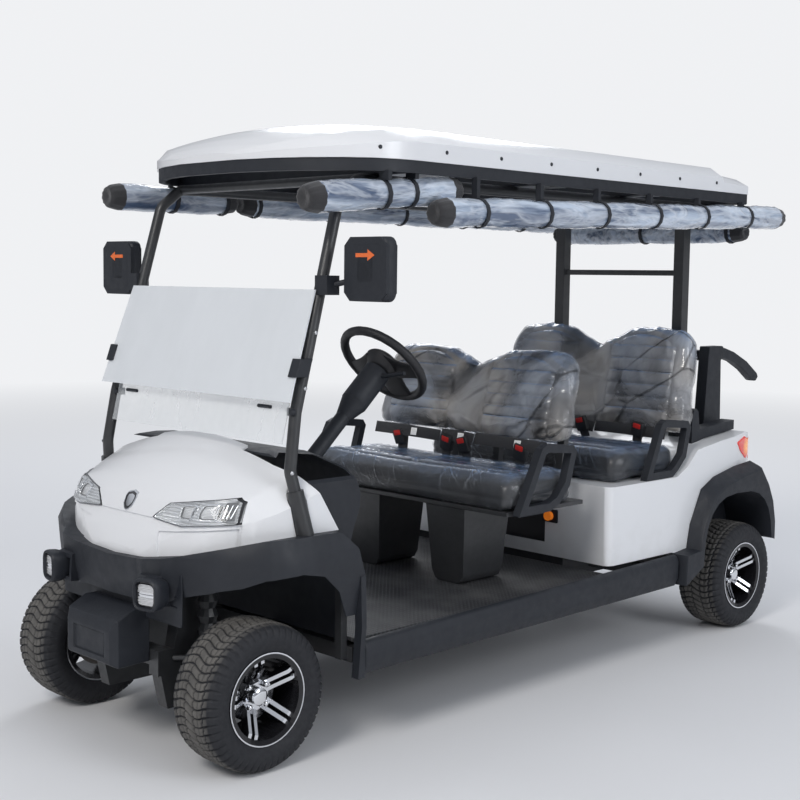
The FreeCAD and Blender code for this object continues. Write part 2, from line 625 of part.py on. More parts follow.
def nose_panel():
    """The white nose: a shell that stands on the bumper's ledge, with a stepped chin and lamp openings."""
    outer, hollow = stepped_nose(0), stepped_nose(PANEL_WALL)
    below = band_under(BUMPER_TOP, 500.0, -320, 420)
    behind = side_prism(list(NOSE_REAR_EDGE) + [(500, 500), (500, 1100)], -700, 700)
    shell = outer.cut([hollow, hollow.translated(at(0, 60, 0)), below, behind])
    middle_rear = box(-232, 232, 130, 170, 940, 1100).common(nose_form(0)).cut(hollow)
    shell = fused([shell, middle_rear])
    sleeve_room = post_tube(SLEEVE_RADIUS + 2.0)
    shell = shell.cut([headlamp_prism(0), mirrored(headlamp_prism(0)), sleeve_room, mirrored(sleeve_room)])
    return max(shell.Solids, key=lambda solid: solid.Volume)


def front_lamps():
    """Headlamps that follow the nose's form and stand a little proud of it, and square fog lamps."""
    skin = nose_form(-2.0).cut(nose_form(26.0))
    lamp = skin.common(headlamp_prism(-SEAT_GAP))
    lamp = max(lamp.Solids, key=lambda solid: solid.Volume)
    half = FOG_SIDE / 2 - SEAT_GAP
    fog = box(FOG_X - half, FOG_X + half, -226, -196.0 - SEAT_GAP, FOG_Z - half, FOG_Z + half)
    fog = fog.makeFillet(8, [edge for edge in fog.Edges if edge.tangentAt(edge.FirstParameter).y ** 2 > 0.9])
    return Part.makeCompound([lamp, mirrored(lamp), fog, mirrored(fog)])


def lower_bumper():
    """The box-shaped lower bumper with a sloped top and a shallow recess in its face."""
    outline = [(FRONT_END_Y, 300), (FRONT_END_Y, 404), (-268, 434), (-206, 466), (-150 - SEAT_GAP, 466),
               (-150 - SEAT_GAP, 292), (-262, 286)]
    body = side_prism(outline, -150, 150)
    plan_outline = [(-122, FRONT_END_Y), (122, FRONT_END_Y), (140, -262), (146, -150), (-146, -150),
                    (-140, -262)]
    body = body.common(plan_prism(plan_outline, 200, 500))
    recess = box(-86, 86, FRONT_END_Y - 20, FRONT_END_Y + 5, 318, 392)
    hollow = side_prism([(-262, 304), (-262, 400), (-204, 450), (-140, 450), (-140, 304)], -118, 118)
    return body.cut([recess, hollow.cut(box(-200, 200, -160, -140, 200, 500))])


# Canopy posts. The tube comes up from the fender, leans back and bends over to run under the roof.

SLEEVE_RADIUS = 27.0
SLEEVE_LENGTH = 162.0
LUG_HALF = 12.0
POST_POINTS = (POST_FOOT, (504, 117, 908), (494, 146, 1086), (478, 330, 1745), (474, 414, ROOF_TUBE_Z),
               (474, ROOF_REAR_Y - 44, ROOF_TUBE_Z))
POST_BEND = 60.0


def post_tube(radius):
    return bent_tube([at(*point) for point in POST_POINTS], radius, POST_BEND)


def post_sleeve(radius):
    foot, knee = at(*POST_POINTS[0]), at(*POST_POINTS[1])
    return rod(foot, foot.add(knee.sub(foot).normalize() * SLEEVE_LENGTH), radius)


def post_centre(z):
    """The middle of the left post at a height between its knee and the bend under the roof."""
    low, high = at(*POST_POINTS[2]), at(*POST_POINTS[3])
    return low.add(high.sub(low) * ((z - low.z) / (high.z - low.z)))


# Windshield: a lower pane against the posts, and the upper pane folded down in front of it.

PANE_THICKNESS = 5.0
PANE_TOP = (222.0, 1462.0)
PANE_FOLD_FOOT = (102.0, 1121.0)
LOWER_PANE_FOOT = (112.0, 988.0)
LOWER_PANE_HALF_WIDTH = 468.0
UPPER_PANE_HALF_TOP = 494.0
UPPER_PANE_HALF_FOOT = 518.0


def pane(y_top, z_top, y_foot, z_foot, half_top, half_foot):
    face = face_of([at(-half_foot, y_foot, z_foot), at(half_foot, y_foot, z_foot),
                    at(half_top, y_top, z_top), at(-half_top, y_top, z_top)])
    return face.extrude(at(0, PANE_THICKNESS, 0))


def windshield_upper():
    return pane(*PANE_TOP, *PANE_FOLD_FOOT, UPPER_PANE_HALF_TOP, UPPER_PANE_HALF_FOOT)


def windshield_lower():
    return pane(PANE_TOP[0] + PANE_THICKNESS + SEAT_GAP, PANE_TOP[1], *LOWER_PANE_FOOT,
                LOWER_PANE_HALF_WIDTH, LOWER_PANE_HALF_WIDTH)


def lower_pane_back(z):
    """Y of the lower pane's rear face at a height."""
    top_y = PANE_TOP[0] + 2 * PANE_THICKNESS + SEAT_GAP
    foot_y = LOWER_PANE_FOOT[0] + PANE_THICKNESS
    return foot_y + (top_y - foot_y) * (z - LOWER_PANE_FOOT[1]) / (PANE_TOP[1] - LOWER_PANE_FOOT[1])


def windshield_clips():
    """A block on each front post, slotted for the edge of the folded pane."""
    low_z, high_z = 1196.0, 1252.0
    slot = windshield_upper().makeOffsetShape(SEAT_GAP, 0.001)
    block = box(482, 522, 118, 200, low_z, high_z)
    lean = (PANE_TOP[0] - PANE_FOLD_FOOT[0]) / (PANE_TOP[1] - PANE_FOLD_FOOT[1])
    face_y = PANE_FOLD_FOOT[0] + lean * (low_z - PANE_FOLD_FOOT[1])
    top_shift = lean * (high_z - low_z)
    front = side_prism([(face_y - 6, low_z), (face_y + 44, low_z), (face_y + 44 + top_shift, high_z),
                        (face_y - 6 + top_shift, high_z)], 470, 530)
    clip = block.common(front).cut([slot, post_tube(POST_RADIUS + SEAT_GAP)])
    return max(clip.Solids, key=lambda solid: solid.Volume)


def windshield_posts():
    """Both front posts with the tubes they become under the roof, sleeves, cross tubes and pane lugs."""
    pieces = [post_tube(POST_RADIUS), post_sleeve(SLEEVE_RADIUS)]
    # Lugs behind the lower pane, by height
    for z in (1086.0, 1420.0):
        centre = post_centre(z)
        back = max(lower_pane_back(z - LUG_HALF), lower_pane_back(z + LUG_HALF)) + SEAT_GAP
        inner = LOWER_PANE_HALF_WIDTH - 14
        pieces.append(box(inner, centre.x, back, centre.y + 12, z - LUG_HALF, z + LUG_HALF))
    side = fused(pieces)
    half_span, tube_y, _ = POST_POINTS[4]
    cross = rod(at(-half_span, tube_y, ROOF_TUBE_Z), at(half_span, tube_y, ROOF_TUBE_Z), POST_RADIUS - 3)
    rear_cross = rod(at(-half_span, REAR_POST_Y, ROOF_TUBE_Z), at(half_span, REAR_POST_Y, ROOF_TUBE_Z),
                     POST_RADIUS - 3)
    return fused([side, mirrored(side), cross, rear_cross])


# Canopy roof

# Roof sections from the front back: y, half width, height of the edge's top, shoulder, crown
CORNER_END_Y = ROOF_FRONT_Y + 370
ROOF_SECTIONS = (
    (ROOF_FRONT_Y, ROOF_HALF_WIDTH - 452, 1890, 1897, 1900),
    (ROOF_FRONT_Y + 35, ROOF_HALF_WIDTH - 302, 1896, 1915, 1926),
    (ROOF_FRONT_Y + 80, ROOF_HALF_WIDTH - 202, 1902, 1930, 1952),
    (ROOF_FRONT_Y + 150, ROOF_HALF_WIDTH - 102, 1910, 1946, 1980),
    (ROOF_FRONT_Y + 215, ROOF_HALF_WIDTH - 42, 1918, 1956, 1997),
    (ROOF_FRONT_Y + 290, ROOF_HALF_WIDTH - 10, 1926, 1966, 2010),
    (CORNER_END_Y, ROOF_HALF_WIDTH, 1931, 1971, 2020),
    (ROOF_FRONT_Y + 620, ROOF_HALF_WIDTH, 1932, 1975, ROOF_TOP_Z),
    (ROOF_REAR_Y - 248, ROOF_HALF_WIDTH, 1932, 1973, 2020),
    (ROOF_REAR_Y - 234, ROOF_HALF_WIDTH, 1912, 1950, 1996),
    (ROOF_REAR_Y - 40, ROOF_HALF_WIDTH - 3, 1906, 1938, 1976),
    (ROOF_REAR_Y, ROOF_HALF_WIDTH - 34, 1896, 1912, 1936),
)


def roof_form(inset):
    wires = []
    for y, half, edge_top, shoulder, crown in ROOF_SECTIONS:
        station = y + inset if y < CORNER_END_Y else y - inset if y == ROOF_REAR_Y else y
        w = half - inset
        foot = ROOF_EDGE_Z - (30 if inset else 0)
        low_left, left = at(-w, station, foot), at(-w, station, edge_top - inset)
        left_shoulder = at(-w + 60, station, shoulder - inset)
        right_shoulder = at(w - 60, station, shoulder - inset)
        right, low_right = at(w, station, edge_top - inset), at(w, station, foot)
        crowned = Part.Arc(left_shoulder, at(0, station, crown - inset), right_shoulder).toShape()
        wires.append(Part.Wire(straight_edges([low_left, left, left_shoulder]) + [crowned]
                               + straight_edges([right_shoulder, right, low_right, low_left])))
    return Part.makeLoft(wires, True, True)


def roof_shell():
    return roof_form(0).cut(roof_form(ROOF_WALL))


def roof_plan(inset):
    """The roof's outline from above, pulled in by the inset: x, y."""
    right = []
    for y, half, *_ in ROOF_SECTIONS:
        right.append((half - inset, y + inset if y < CORNER_END_Y else y - inset if y == ROOF_REAR_Y else y))
    return right + [(-x, y) for x, y in reversed(right)]


# Curtain rolls beside the roof: x, y and z of the front end, y and z of the rear end, y of the first
# and the last strap
CURTAIN_ROLLS = ((546, 128, 1735, 800, 1795, 448, 568),
                 (614, 620, 1712, ROOF_REAR_Y + 196, 1782, 834, ROOF_REAR_Y - 100),
                 (-580, 168, 1780, 740, 1782, 448, 680),
                 (-604, 790, 1780, ROOF_REAR_Y + 196, 1782, 860, ROOF_REAR_Y - 100))
REAR_ROLL_Y = ROOF_REAR_Y + 86.0
REAR_ROLL_Z = 1722.0
REAR_ROLL_HALF = 520.0
CAP_LENGTH = 26.0
STRAP_PITCH = 330.0
STRAP_WIDTH = 16.0
STRAP_THICKNESS = 3.0
REAR_STRAP_X = 450.0
STRAP_CORNERS = 12


def curtain_roll(start, end):
    """A roll of film with a black cap of lesser radius on each end."""
    along = end.sub(start).normalize() * CAP_LENGTH
    caps = rod(start, end, ROLL_CAP_RADIUS)
    return rod(start.add(along), end.sub(along), ROLL_RADIUS).fuse(caps).removeSplitter()


def rolls():
    """For each roll: its ends and how far along it the first and the last strap lie."""
    found = []
    for x, y_front, z_front, y_rear, z_rear, first, last in CURTAIN_ROLLS:
        found.append((at(x, y_front, z_front), at(x, y_rear, z_rear), first - y_front, last - y_front))
    rear = (at(-REAR_ROLL_HALF, REAR_ROLL_Y, REAR_ROLL_Z), at(REAR_ROLL_HALF, REAR_ROLL_Y, REAR_ROLL_Z))
    found.append(rear + (REAR_ROLL_HALF - REAR_STRAP_X, REAR_ROLL_HALF + REAR_STRAP_X))
    return found


def curtain_rolls():
    return Part.makeCompound([curtain_roll(start, end) for start, end, first, last in rolls()])


def strap_form(middle, direction, reach, width):
    """A prism about the roll whose flats are at the given reach."""
    side = direction.cross(at(0, 0, 1)).normalize()
    up = side.cross(direction)
    foot = middle.sub(direction * (width / 2))
    corner = reach / math.cos(math.pi / STRAP_CORNERS)
    points = []
    for index in range(STRAP_CORNERS):
        angle = 2 * math.pi * index / STRAP_CORNERS
        points.append(foot.add(side * (corner * math.cos(angle))).add(up * (corner * math.sin(angle))))
    return face_of(points).extrude(direction * width)


def strap(middle, direction, hanger):
    """A band round a curtain roll, fused to the hanger that carries it."""
    inner = ROLL_RADIUS + SEAT_GAP
    band = strap_form(middle, direction, inner + STRAP_THICKNESS, STRAP_WIDTH)
    return band.fuse(hanger).cut(strap_form(middle, direction, inner, STRAP_WIDTH * 3))


def roof_rails():
    """The black rail under the roof's edge, its cross members and the straps that hold the rolls."""
    low, high = ROOF_EDGE_Z - ROOF_RAIL_DEPTH, ROOF_EDGE_Z - SEAT_GAP
    ring = plan_prism(roof_plan(ROOF_LIP), low, high)
    pieces = [ring.cut(plan_prism(roof_plan(ROOF_LIP + ROOF_RAIL_WIDTH), low - 1, high + 1))]
    front, rear = ROOF_FRONT_Y + 300, ROOF_REAR_Y - ROOF_LIP
    rail_outer = ROOF_HALF_WIDTH - ROOF_LIP
    cross_half = rail_outer - ROOF_RAIL_WIDTH + 2
    cross_low = ROOF_TUBE_Z + POST_RADIUS + SEAT_GAP
    bays = 3
    bay = (REAR_POST_Y - 25 - front) / bays
    stations = [front + bay * index for index in range(bays + 1)] + [rear - 70]
    for station in stations:
        pieces.append(box(-cross_half, cross_half, station, station + 50, cross_low, high))
    half = STRAP_WIDTH / 2
    for start, end, first, last in rolls():
        direction = end.sub(start).normalize()
        along = abs(direction.y) > 0.5
        count = max(2, int((last - first) // STRAP_PITCH) + 1)
        for index in range(count):
            middle = start.add(direction * (first + (last - first) * index / (count - 1)))
            crown = middle.z + ROLL_RADIUS
            left, right = middle.x - half, middle.x + half
            if not along:
                hanger = box(left, right, rear - 5, middle.y, crown - 2, crown + 3)
                hanger = hanger.fuse(box(left, right, rear - 5, rear, crown - 2, low + 4))
            else:
                x_low, x_high = sorted((math.copysign(rail_outer - 8, middle.x), middle.x))
                hanger = box(x_low, x_high, middle.y - half, middle.y + half, crown - 4, low + 4)
                if crown > low - 4:
                    hanger = box(x_low, x_high, middle.y - half, middle.y + half, middle.z, low + 4)
            pieces.append(strap(middle, direction, hanger))
    return fused(pieces)


def rear_roof_posts():
    """Two square posts behind the rear seat with a tie between them."""
    half = REAR_POST_SIDE / 2
    top = ROOF_TUBE_Z - POST_RADIUS - SEAT_GAP
    pieces = []
    for sign in (1, -1):
        low, high = sorted((sign * (REAR_POST_X - half), sign * (REAR_POST_X + half)))
        foot = RAIL_REAR_TOP_Z + SEAT_GAP
        pieces.append(box(low, high, REAR_POST_Y - half, REAR_POST_Y + half, foot, top))
        inner, outer = sorted((sign * (RAIL_OUTER_X - 20), sign * (REAR_POST_X + half)))
        pieces.append(box(inner, outer, REAR_POST_Y - half, REAR_POST_Y + half, foot, foot + 20))
    pieces.append(box(-REAR_POST_X, REAR_POST_X, REAR_POST_Y - 12, REAR_POST_Y + 12, 1527, 1551))
    # Bars that carry the rear backrests, with a stub to each post
    slope = back_slope(REAR_BACK_FOOT_Y, REAR_BACK_FOOT_Z, REAR_BACK_TOP)
    for z in (960.0, 1150.0):
        bar_y = REAR_BACK_FOOT_Y + BACK_THICKNESS + SEAT_GAP + (z + 30 - REAR_BACK_FOOT_Z) * slope
        bar_half = REAR_SEAT_HALF_WIDTH - 86
        pieces.append(box(-bar_half, bar_half, bar_y, bar_y + 16, z, z + 30))
        for sign in (1, -1):
            low, high = sorted((sign * (REAR_POST_X - 14), sign * (REAR_POST_X + 14)))
            pieces.append(box(low, high, bar_y + 15, REAR_POST_Y - half + 1, z, z + 28))
    return fused(pieces)


# Mirrors, held by short arms on the front posts

MIRROR_CENTRE = (669.0, 1526.0)
MIRROR_FRONT_Y = 266.0
MIRROR_DEPTH = 46.0


def mirror():
    half_w, half_h, corner = 92.0, 97.0, 26.0
    outline = [(-half_w + corner, -half_h), (half_w - corner, -half_h), (half_w, -half_h + corner),
               (half_w, half_h - corner), (half_w - corner, half_h), (-half_w + corner, half_h),
               (-half_w, half_h - corner), (-half_w, -half_h + corner)]
    housing = front_prism([(MIRROR_CENTRE[0] + x, MIRROR_CENTRE[1] + z) for x, z in outline],
                          MIRROR_FRONT_Y, MIRROR_FRONT_Y + MIRROR_DEPTH)
    clamp_z = 1476.0
    post = post_centre(clamp_z)
    arm = rod(at(MIRROR_CENTRE[0] - half_w + 4, MIRROR_FRONT_Y + MIRROR_DEPTH / 2, clamp_z + 14),
              at(post.x + 40, post.y + 6, clamp_z), 9)
    clamp = box(post.x, post.x + 56, post.y - 26, post.y + 26, clamp_z - 30, clamp_z + 30)
    return fused([housing, arm, clamp.cut(post_tube(POST_RADIUS + SEAT_GAP))])


# Dashboard, kick panels and footwell front as one moulding

COWL_OUTLINE = ((152, 944), (196, 954), (300, 944), (366, 896), (398, 820), (396, 770), (368, 700),
                (352, 640), (FOOTWELL_FRONT_Y, 560), (FOOTWELL_FRONT_Y, FLOOR_Z - FLOOR_THICKNESS))


COWL_HALF_WIDTH = 521.0
# Half of the cowl's crowned top, seen from the front: x, z
COWL_CROWN = ((0, 985), (240, 972), (404, 934), (478, 900), (COWL_HALF_WIDTH + 1, 862),
              (COWL_HALF_WIDTH + 1, 300))


def cowl():
    wall = 8.0
    front_line = [(FOOTWELL_FRONT_Y - wall, FLOOR_Z - FLOOR_THICKNESS), (FOOTWELL_FRONT_Y - wall, 560),
                  (352 - wall, 644), (360, 703), (386, 772), (388, 817), (360, 888), (297, 935), (196, 945),
                  (152, 936)]
    skin = side_prism(list(COWL_OUTLINE) + front_line, -COWL_HALF_WIDTH, COWL_HALF_WIDTH)
    cheek_outline = [(150, 905)] + list(COWL_OUTLINE[:8]) + [(318, 664), (286, 700)]
    cheek = side_prism(cheek_outline, COWL_HALF_WIDTH - 12, COWL_HALF_WIDTH)
    # Before its rear edge, the nose panel leaves room only inside its own wall.
    before_edge = side_prism([(y + SEAT_GAP, z) for y, z in NOSE_REAR_EDGE] + [(-400, 500), (-400, 1100)],
                             -700, 700)
    crown = front_prism([(-x, z) for x, z in reversed(COWL_CROWN[1:])] + list(COWL_CROWN), 100, 450)
    moulding = fused([skin, cheek, mirrored(cheek)]).common(crown)
    return moulding.cut(before_edge.cut(nose_form(PANEL_WALL + 2 * SEAT_GAP)))


# Steering column, wheel and pedals

def column_direction():
    tilt = math.radians(STEERING_WHEEL_TILT)
    return at(0, math.cos(tilt), math.sin(tilt))


def steering_column():
    centre = at(*STEERING_WHEEL_CENTRE)
    axis = column_direction()
    shaft = rod(centre.sub(axis * 38), centre.sub(axis * 500), 26)
    shroud = rod(centre.sub(axis * 40), centre.sub(axis * 190), 48)
    taper = Part.makeCone(48, 27, 70, centre.sub(axis * 188), axis * -1)
    stalk = rod(centre.sub(axis * 70), centre.sub(axis * 62).add(at(150, 0, 20)), 7)
    return fused([shaft, shroud, taper, stalk])


def steering_wheel():
    """A three-spoke wheel with a domed hub pad; the wheel turns about the column's axis."""
    rim_corners, rim_flats = 12, 40
    middle_radius = STEERING_WHEEL_RADIUS - STEERING_RIM_RADIUS
    section = []
    for index in range(rim_corners):
        angle = 2 * math.pi * index / rim_corners
        out = STEERING_RIM_RADIUS * math.cos(angle)
        section.append((STEERING_RIM_RADIUS * math.sin(angle), middle_radius + out))
    ring = turned(section, rim_flats)
    ring.rotate(at(0, 0, 0), at(0, 1, 0), -90)
    hub = Part.makeCone(58, 46, 46, at(0, 0, -37), at(0, 0, 1))
    spokes = []
    # Spokes: angle, half width at the hub and at the rim
    for angle, half_foot, half_head in ((5, 30, 20), (175, 30, 20), (90, 34, 26)):
        spoke = plan_prism([(30, -half_foot), (middle_radius, -half_head), (middle_radius, half_head),
                            (30, half_foot)], -10, 4)
        spoke.rotate(at(0, 0, 0), at(0, 0, 1), angle)
        spokes.append(spoke)
    wheel = fused([ring, hub] + spokes)
    wheel.rotate(at(0, 0, 0), at(1, 0, 0), -(90 - STEERING_WHEEL_TILT))
    wheel.translate(at(*STEERING_WHEEL_CENTRE))
    return wheel


def pedals():
    pieces = []
    # Pedals: middle x, plate width, plate height
    for x, width, height in ((150, 62, 120), (300, 84, 66)):
        face_y = 392.0
        plate = side_prism([(face_y, 432), (face_y + 8, 432), (face_y + 8 + height * 0.3, 432 + height),
                            (face_y + height * 0.3, 432 + height)], x - width / 2, x + width / 2)
        arm = side_prism([(FOOTWELL_FRONT_Y + 1, 556), (FOOTWELL_FRONT_Y + 1, 534), (face_y + 14, 466),
                          (face_y + 22, 486)], x - 7, x + 7)
        base = box(x - 20, x + 20, FOOTWELL_FRONT_Y + SEAT_GAP, FOOTWELL_FRONT_Y + 9, 520, 558)
        pieces.append(fused([plate, arm, base]))
    return Part.makeCompound(pieces)


# Seats

def cushion(half_width, y0, depth, z0, height):
    """A plain crowned cushion with its front and side edges rolled over."""
    y1, z1 = y0 + depth, z0 + height
    profile = side_prism([(y0 + 14, z0), (y1 - 6, z0), (y1, z0 + 20), (y1, z1 - 26), (y1 - 20, z1 - 12),
                          (y0 + depth * 0.6, z1 - 8), (y0 + 90, z1), (y0 + 34, z1 - 8), (y0 + 6, z1 - 36),
                          (y0, z1 - 72), (y0 + 2, z0 + 18)], -half_width, half_width)
    front_view = front_prism([(-half_width + 16, z0), (half_width - 16, z0), (half_width, z0 + 22),
                              (half_width, z1 - 40), (half_width - 14, z1 - 14), (half_width - 44, z1),
                              (-half_width + 44, z1), (-half_width + 14, z1 - 14), (-half_width, z1 - 40),
                              (-half_width, z0 + 22)], y0 - 10, y1 + 10)
    return profile.common(front_view)


def back_slope(foot_y, foot_z, top):
    return (top[0] - foot_y) / (top[1] - foot_z)


def seat_backs(half_width, foot_y, foot_z, top_y, top_z, dip):
    """Two humped backrests side by side, leaning back."""
    slope = back_slope(foot_y, foot_z, (top_y, top_z))

    def leaning(z, offset):
        return (foot_y + (z - foot_z) * slope + offset, z)

    lean = side_prism([leaning(foot_z, 14), leaning(foot_z + 30, 0), leaning(top_z - 40, 0),
                       leaning(top_z, 26), leaning(top_z, BACK_THICKNESS - 20),
                       leaning(top_z - 30, BACK_THICKNESS),
                       leaning(foot_z + 10, BACK_THICKNESS), leaning(foot_z, BACK_THICKNESS - 12)],
                      -half_width, half_width)
    w = half_width
    right = [(0, top_z - dip), (w * 0.16, top_z - dip * 0.55), (w * 0.36, top_z - 4), (w * 0.62, top_z),
             (w * 0.86, top_z - 14), (w * 0.97, top_z - 52), (w, top_z - 120), (w, foot_z + 60),
             (w - 36, foot_z)]
    outline = right + [(-x, z) for x, z in reversed(right) if x]
    return lean.common(front_prism(outline, foot_y - 200, top_y + 300))


BACK_FOOT_Z = 872.0
FRONT_BACK_FOOT_Y = FRONT_SEAT_Y + 364.0
FRONT_BACK_TOP = (FRONT_SEAT_Y + 448.0, 1240.0)
REAR_BACK_FOOT_Y = WHEELBASE - 341.0
REAR_BACK_FOOT_Z = 848.0
REAR_BACK_TOP = (WHEELBASE - 259.0, 1312.0)


PEDESTAL_FRONT_Y = FRONT_SEAT_Y + 26.0
PEDESTAL_REAR_Y = FRONT_SEAT_Y + 288.0


def front_seat_frame():
    """Seat base on two round-footed pedestals, with the bars that carry the backrests."""
    base_low = FRONT_SEAT_BASE_Z - SEAT_GAP - 16
    half, rear_y = SEAT_HALF_WIDTH - 26, FRONT_SEAT_Y + CUSHION_DEPTH + 20
    base = box(-half, half, FRONT_SEAT_Y + 24, rear_y, base_low, FRONT_SEAT_BASE_Z - SEAT_GAP)
    pieces = [base]
    pedestal_top = base_low + 1
    for sign in (1, -1):
        foot = FLOOR_Z + SEAT_GAP
        outline = [(146, foot + 34), (160, foot + 8), (180, foot), (272, foot), (292, foot + 8),
                   (306, foot + 34), (326, pedestal_top), (126, pedestal_top)]
        pedestal = front_prism([(sign * x, z) for x, z in outline], PEDESTAL_FRONT_Y, PEDESTAL_REAR_Y)
        taper = side_prism([(PEDESTAL_FRONT_Y + 24, FLOOR_Z), (PEDESTAL_REAR_Y - 22, FLOOR_Z),
                            (PEDESTAL_REAR_Y, pedestal_top), (PEDESTAL_FRONT_Y + 2, pedestal_top)], -400, 400)
        pieces.append(pedestal.common(taper))
    back_y = FRONT_BACK_FOOT_Y + BACK_THICKNESS + SEAT_GAP
    slope = back_slope(FRONT_BACK_FOOT_Y, BACK_FOOT_Z, FRONT_BACK_TOP)
    for x in (-430.0, -110.0, 110.0, 430.0):
        rise = 1120.0 - BACK_FOOT_Z
        pieces.append(side_prism([(back_y - 24, base_low + 2), (back_y + 8, base_low + 2),
                                  (back_y + 26, BACK_FOOT_Z),
                                  (back_y + 22 + rise * slope, BACK_FOOT_Z + rise),
                                  (back_y + rise * slope, BACK_FOOT_Z + rise), (back_y, BACK_FOOT_Z),
                                  (back_y - 8, 806)], x - 16, x + 16))
    bar_z = 1040.0
    bar_y = back_y + (bar_z + 30 - BACK_FOOT_Z) * slope
    bar_half = SEAT_HALF_WIDTH - 114
    pieces.append(box(-bar_half, bar_half, bar_y, bar_y + 19, bar_z, bar_z + 30))
    return fused(pieces)


def front_seat_cushion():
    return cushion(SEAT_HALF_WIDTH - 8, FRONT_SEAT_Y, CUSHION_DEPTH - 20, FRONT_SEAT_BASE_Z, CUSHION_HEIGHT)


def rear_seat_cushion():
    half, deck = REAR_SEAT_HALF_WIDTH - 10, SEAT_DECK_Z + SEAT_GAP
    return cushion(half, REAR_SEAT_Y, CUSHION_DEPTH + 20, deck, CUSHION_HEIGHT)


def front_seat_backs():
    return seat_backs(SEAT_HALF_WIDTH - 60, FRONT_BACK_FOOT_Y, BACK_FOOT_Z, *FRONT_BACK_TOP, 66.0)


def rear_seat_backs():
    return seat_backs(REAR_SEAT_HALF_WIDTH - 32, REAR_BACK_FOOT_Y, REAR_BACK_FOOT_Z, *REAR_BACK_TOP, 84.0)


ARMREST_BAR = 30.0


def armrest(outline, x0, x1, wall):
    outer = side_prism(outline, x0, x1)
    opening = face_of([at(x0 - 5, y, z) for y, z in outline]).makeOffset2D(-wall)
    return outer.cut(opening.extrude(at(x1 - x0 + 10, 0, 0)))


# Outlines of the armrests, with stations counted back from the cushion's front: y, z
FRONT_ARMREST = ((32, 660), (154, 894), (188, 908), (340, 892), (356, 868), (320, 744), (262, 682),
                 (206, 660))
REAR_ARMREST = ((178, SEAT_DECK_Z + SEAT_GAP), (278, 926), (312, 940), (470, 926), (492, 900), (460, 776),
                (400, 722), (364, SEAT_DECK_Z + SEAT_GAP))


def armrests():
    inner, low = SEAT_HALF_WIDTH - 8 + SEAT_GAP, SEAT_HALF_WIDTH - 26 + SEAT_GAP
    outline = [(FRONT_SEAT_Y + y, z) for y, z in FRONT_ARMREST]
    front = armrest(outline, inner, SEAT_HALF_WIDTH + 26, ARMREST_BAR)
    foot = box(low, SEAT_HALF_WIDTH, FRONT_SEAT_Y + 56, FRONT_SEAT_Y + 206, 650, FRONT_SEAT_BASE_Z - SEAT_GAP)
    front = front.fuse(foot).removeSplitter()
    inner, outer = REAR_SEAT_HALF_WIDTH - 10 + SEAT_GAP, REAR_SEAT_HALF_WIDTH + 22
    rear = armrest([(REAR_SEAT_Y + y, z) for y, z in REAR_ARMREST], inner, outer, ARMREST_BAR)
    return Part.makeCompound([front, mirrored(front), rear, mirrored(rear)])


def seat_belts():
    """Buckles that stand up from the cushions, four to each row."""
    pieces = []
    # Seat rows: y of the buckle, cushion
    for y, seat in ((FRONT_SEAT_Y + 340, front_seat_cushion()), (REAR_SEAT_Y + 430, rear_seat_cushion())):
        z = seat.BoundBox.ZMax - 20
        lifted = seat.translated(at(0, 0, SEAT_GAP))
        for x in (-300.0, -60.0, 60.0, 330.0):
            buckle = front_prism([(x - 26, z), (x + 26, z), (x + 30, z + 40), (x + 20, z + 62),
                                  (x - 20, z + 62), (x - 30, z + 40)], y - 16, y + 14)
            pieces.append(buckle.cut(lifted))
    return Part.makeCompound(pieces)


# Rear body

REAR_BODY_SIDE = [(REAR_BOX_FRONT_Y, 388), (REAR_BOX_FRONT_Y, SEAT_DECK_Z)] + from_rear_axle((
    (-453, SEAT_DECK_Z), (-371, 740), (-303, 800), (-123, 824), (113, 846), (187, 830), (259, 740),
    (305, 640), (321, 520), (313, 470), (257, 458), (257, 388)))
# Half of the box's plan: inset from the box's half width, station behind the box's front or the rear axle
REAR_BOX_FRONT_PLAN = ((BODY_HALF_WIDTH, 0), (28, 0), (12, 8), (0, 30))
REAR_BOX_REAR_PLAN = ((-8, -453), (-4, -3), (20, 137), (70, 233), (136, 293), (256, 321),
                      (BODY_HALF_WIDTH, 327))


def rear_body_form(inset):
    side = face_of([at(-650, y, z) for y, z in REAR_BODY_SIDE])
    plan_line = [(BODY_HALF_WIDTH - x, REAR_BOX_FRONT_Y + y) for x, y in REAR_BOX_FRONT_PLAN]
    plan_line += [(BODY_HALF_WIDTH - x, WHEELBASE + y) for x, y in REAR_BOX_REAR_PLAN]
    full = plan_line + [(-x, y) for x, y in reversed(plan_line) if x]
    plan = face_of([at(x, y, 300) for x, y in full])
    if inset:
        side, plan = side.makeOffset2D(-inset), plan.makeOffset2D(-inset)
    return side.extrude(at(1300, 0, 0)).common(plan.extrude(at(0, 0, 700)))


WELL_FRONT_Y = WHEELBASE - 63.0
WELL_FLOOR_Z = 640.0


def seat_recess(grow):
    """The flat place for the rear cushion between the quarter panels."""
    half = REAR_SEAT_HALF_WIDTH - 6 + grow
    back = REAR_SEAT_Y + CUSHION_DEPTH + 26 + grow
    return box(-half, half, REAR_BOX_FRONT_Y - 50, back, SEAT_DECK_Z - grow, SEAT_DECK_Z + 300)


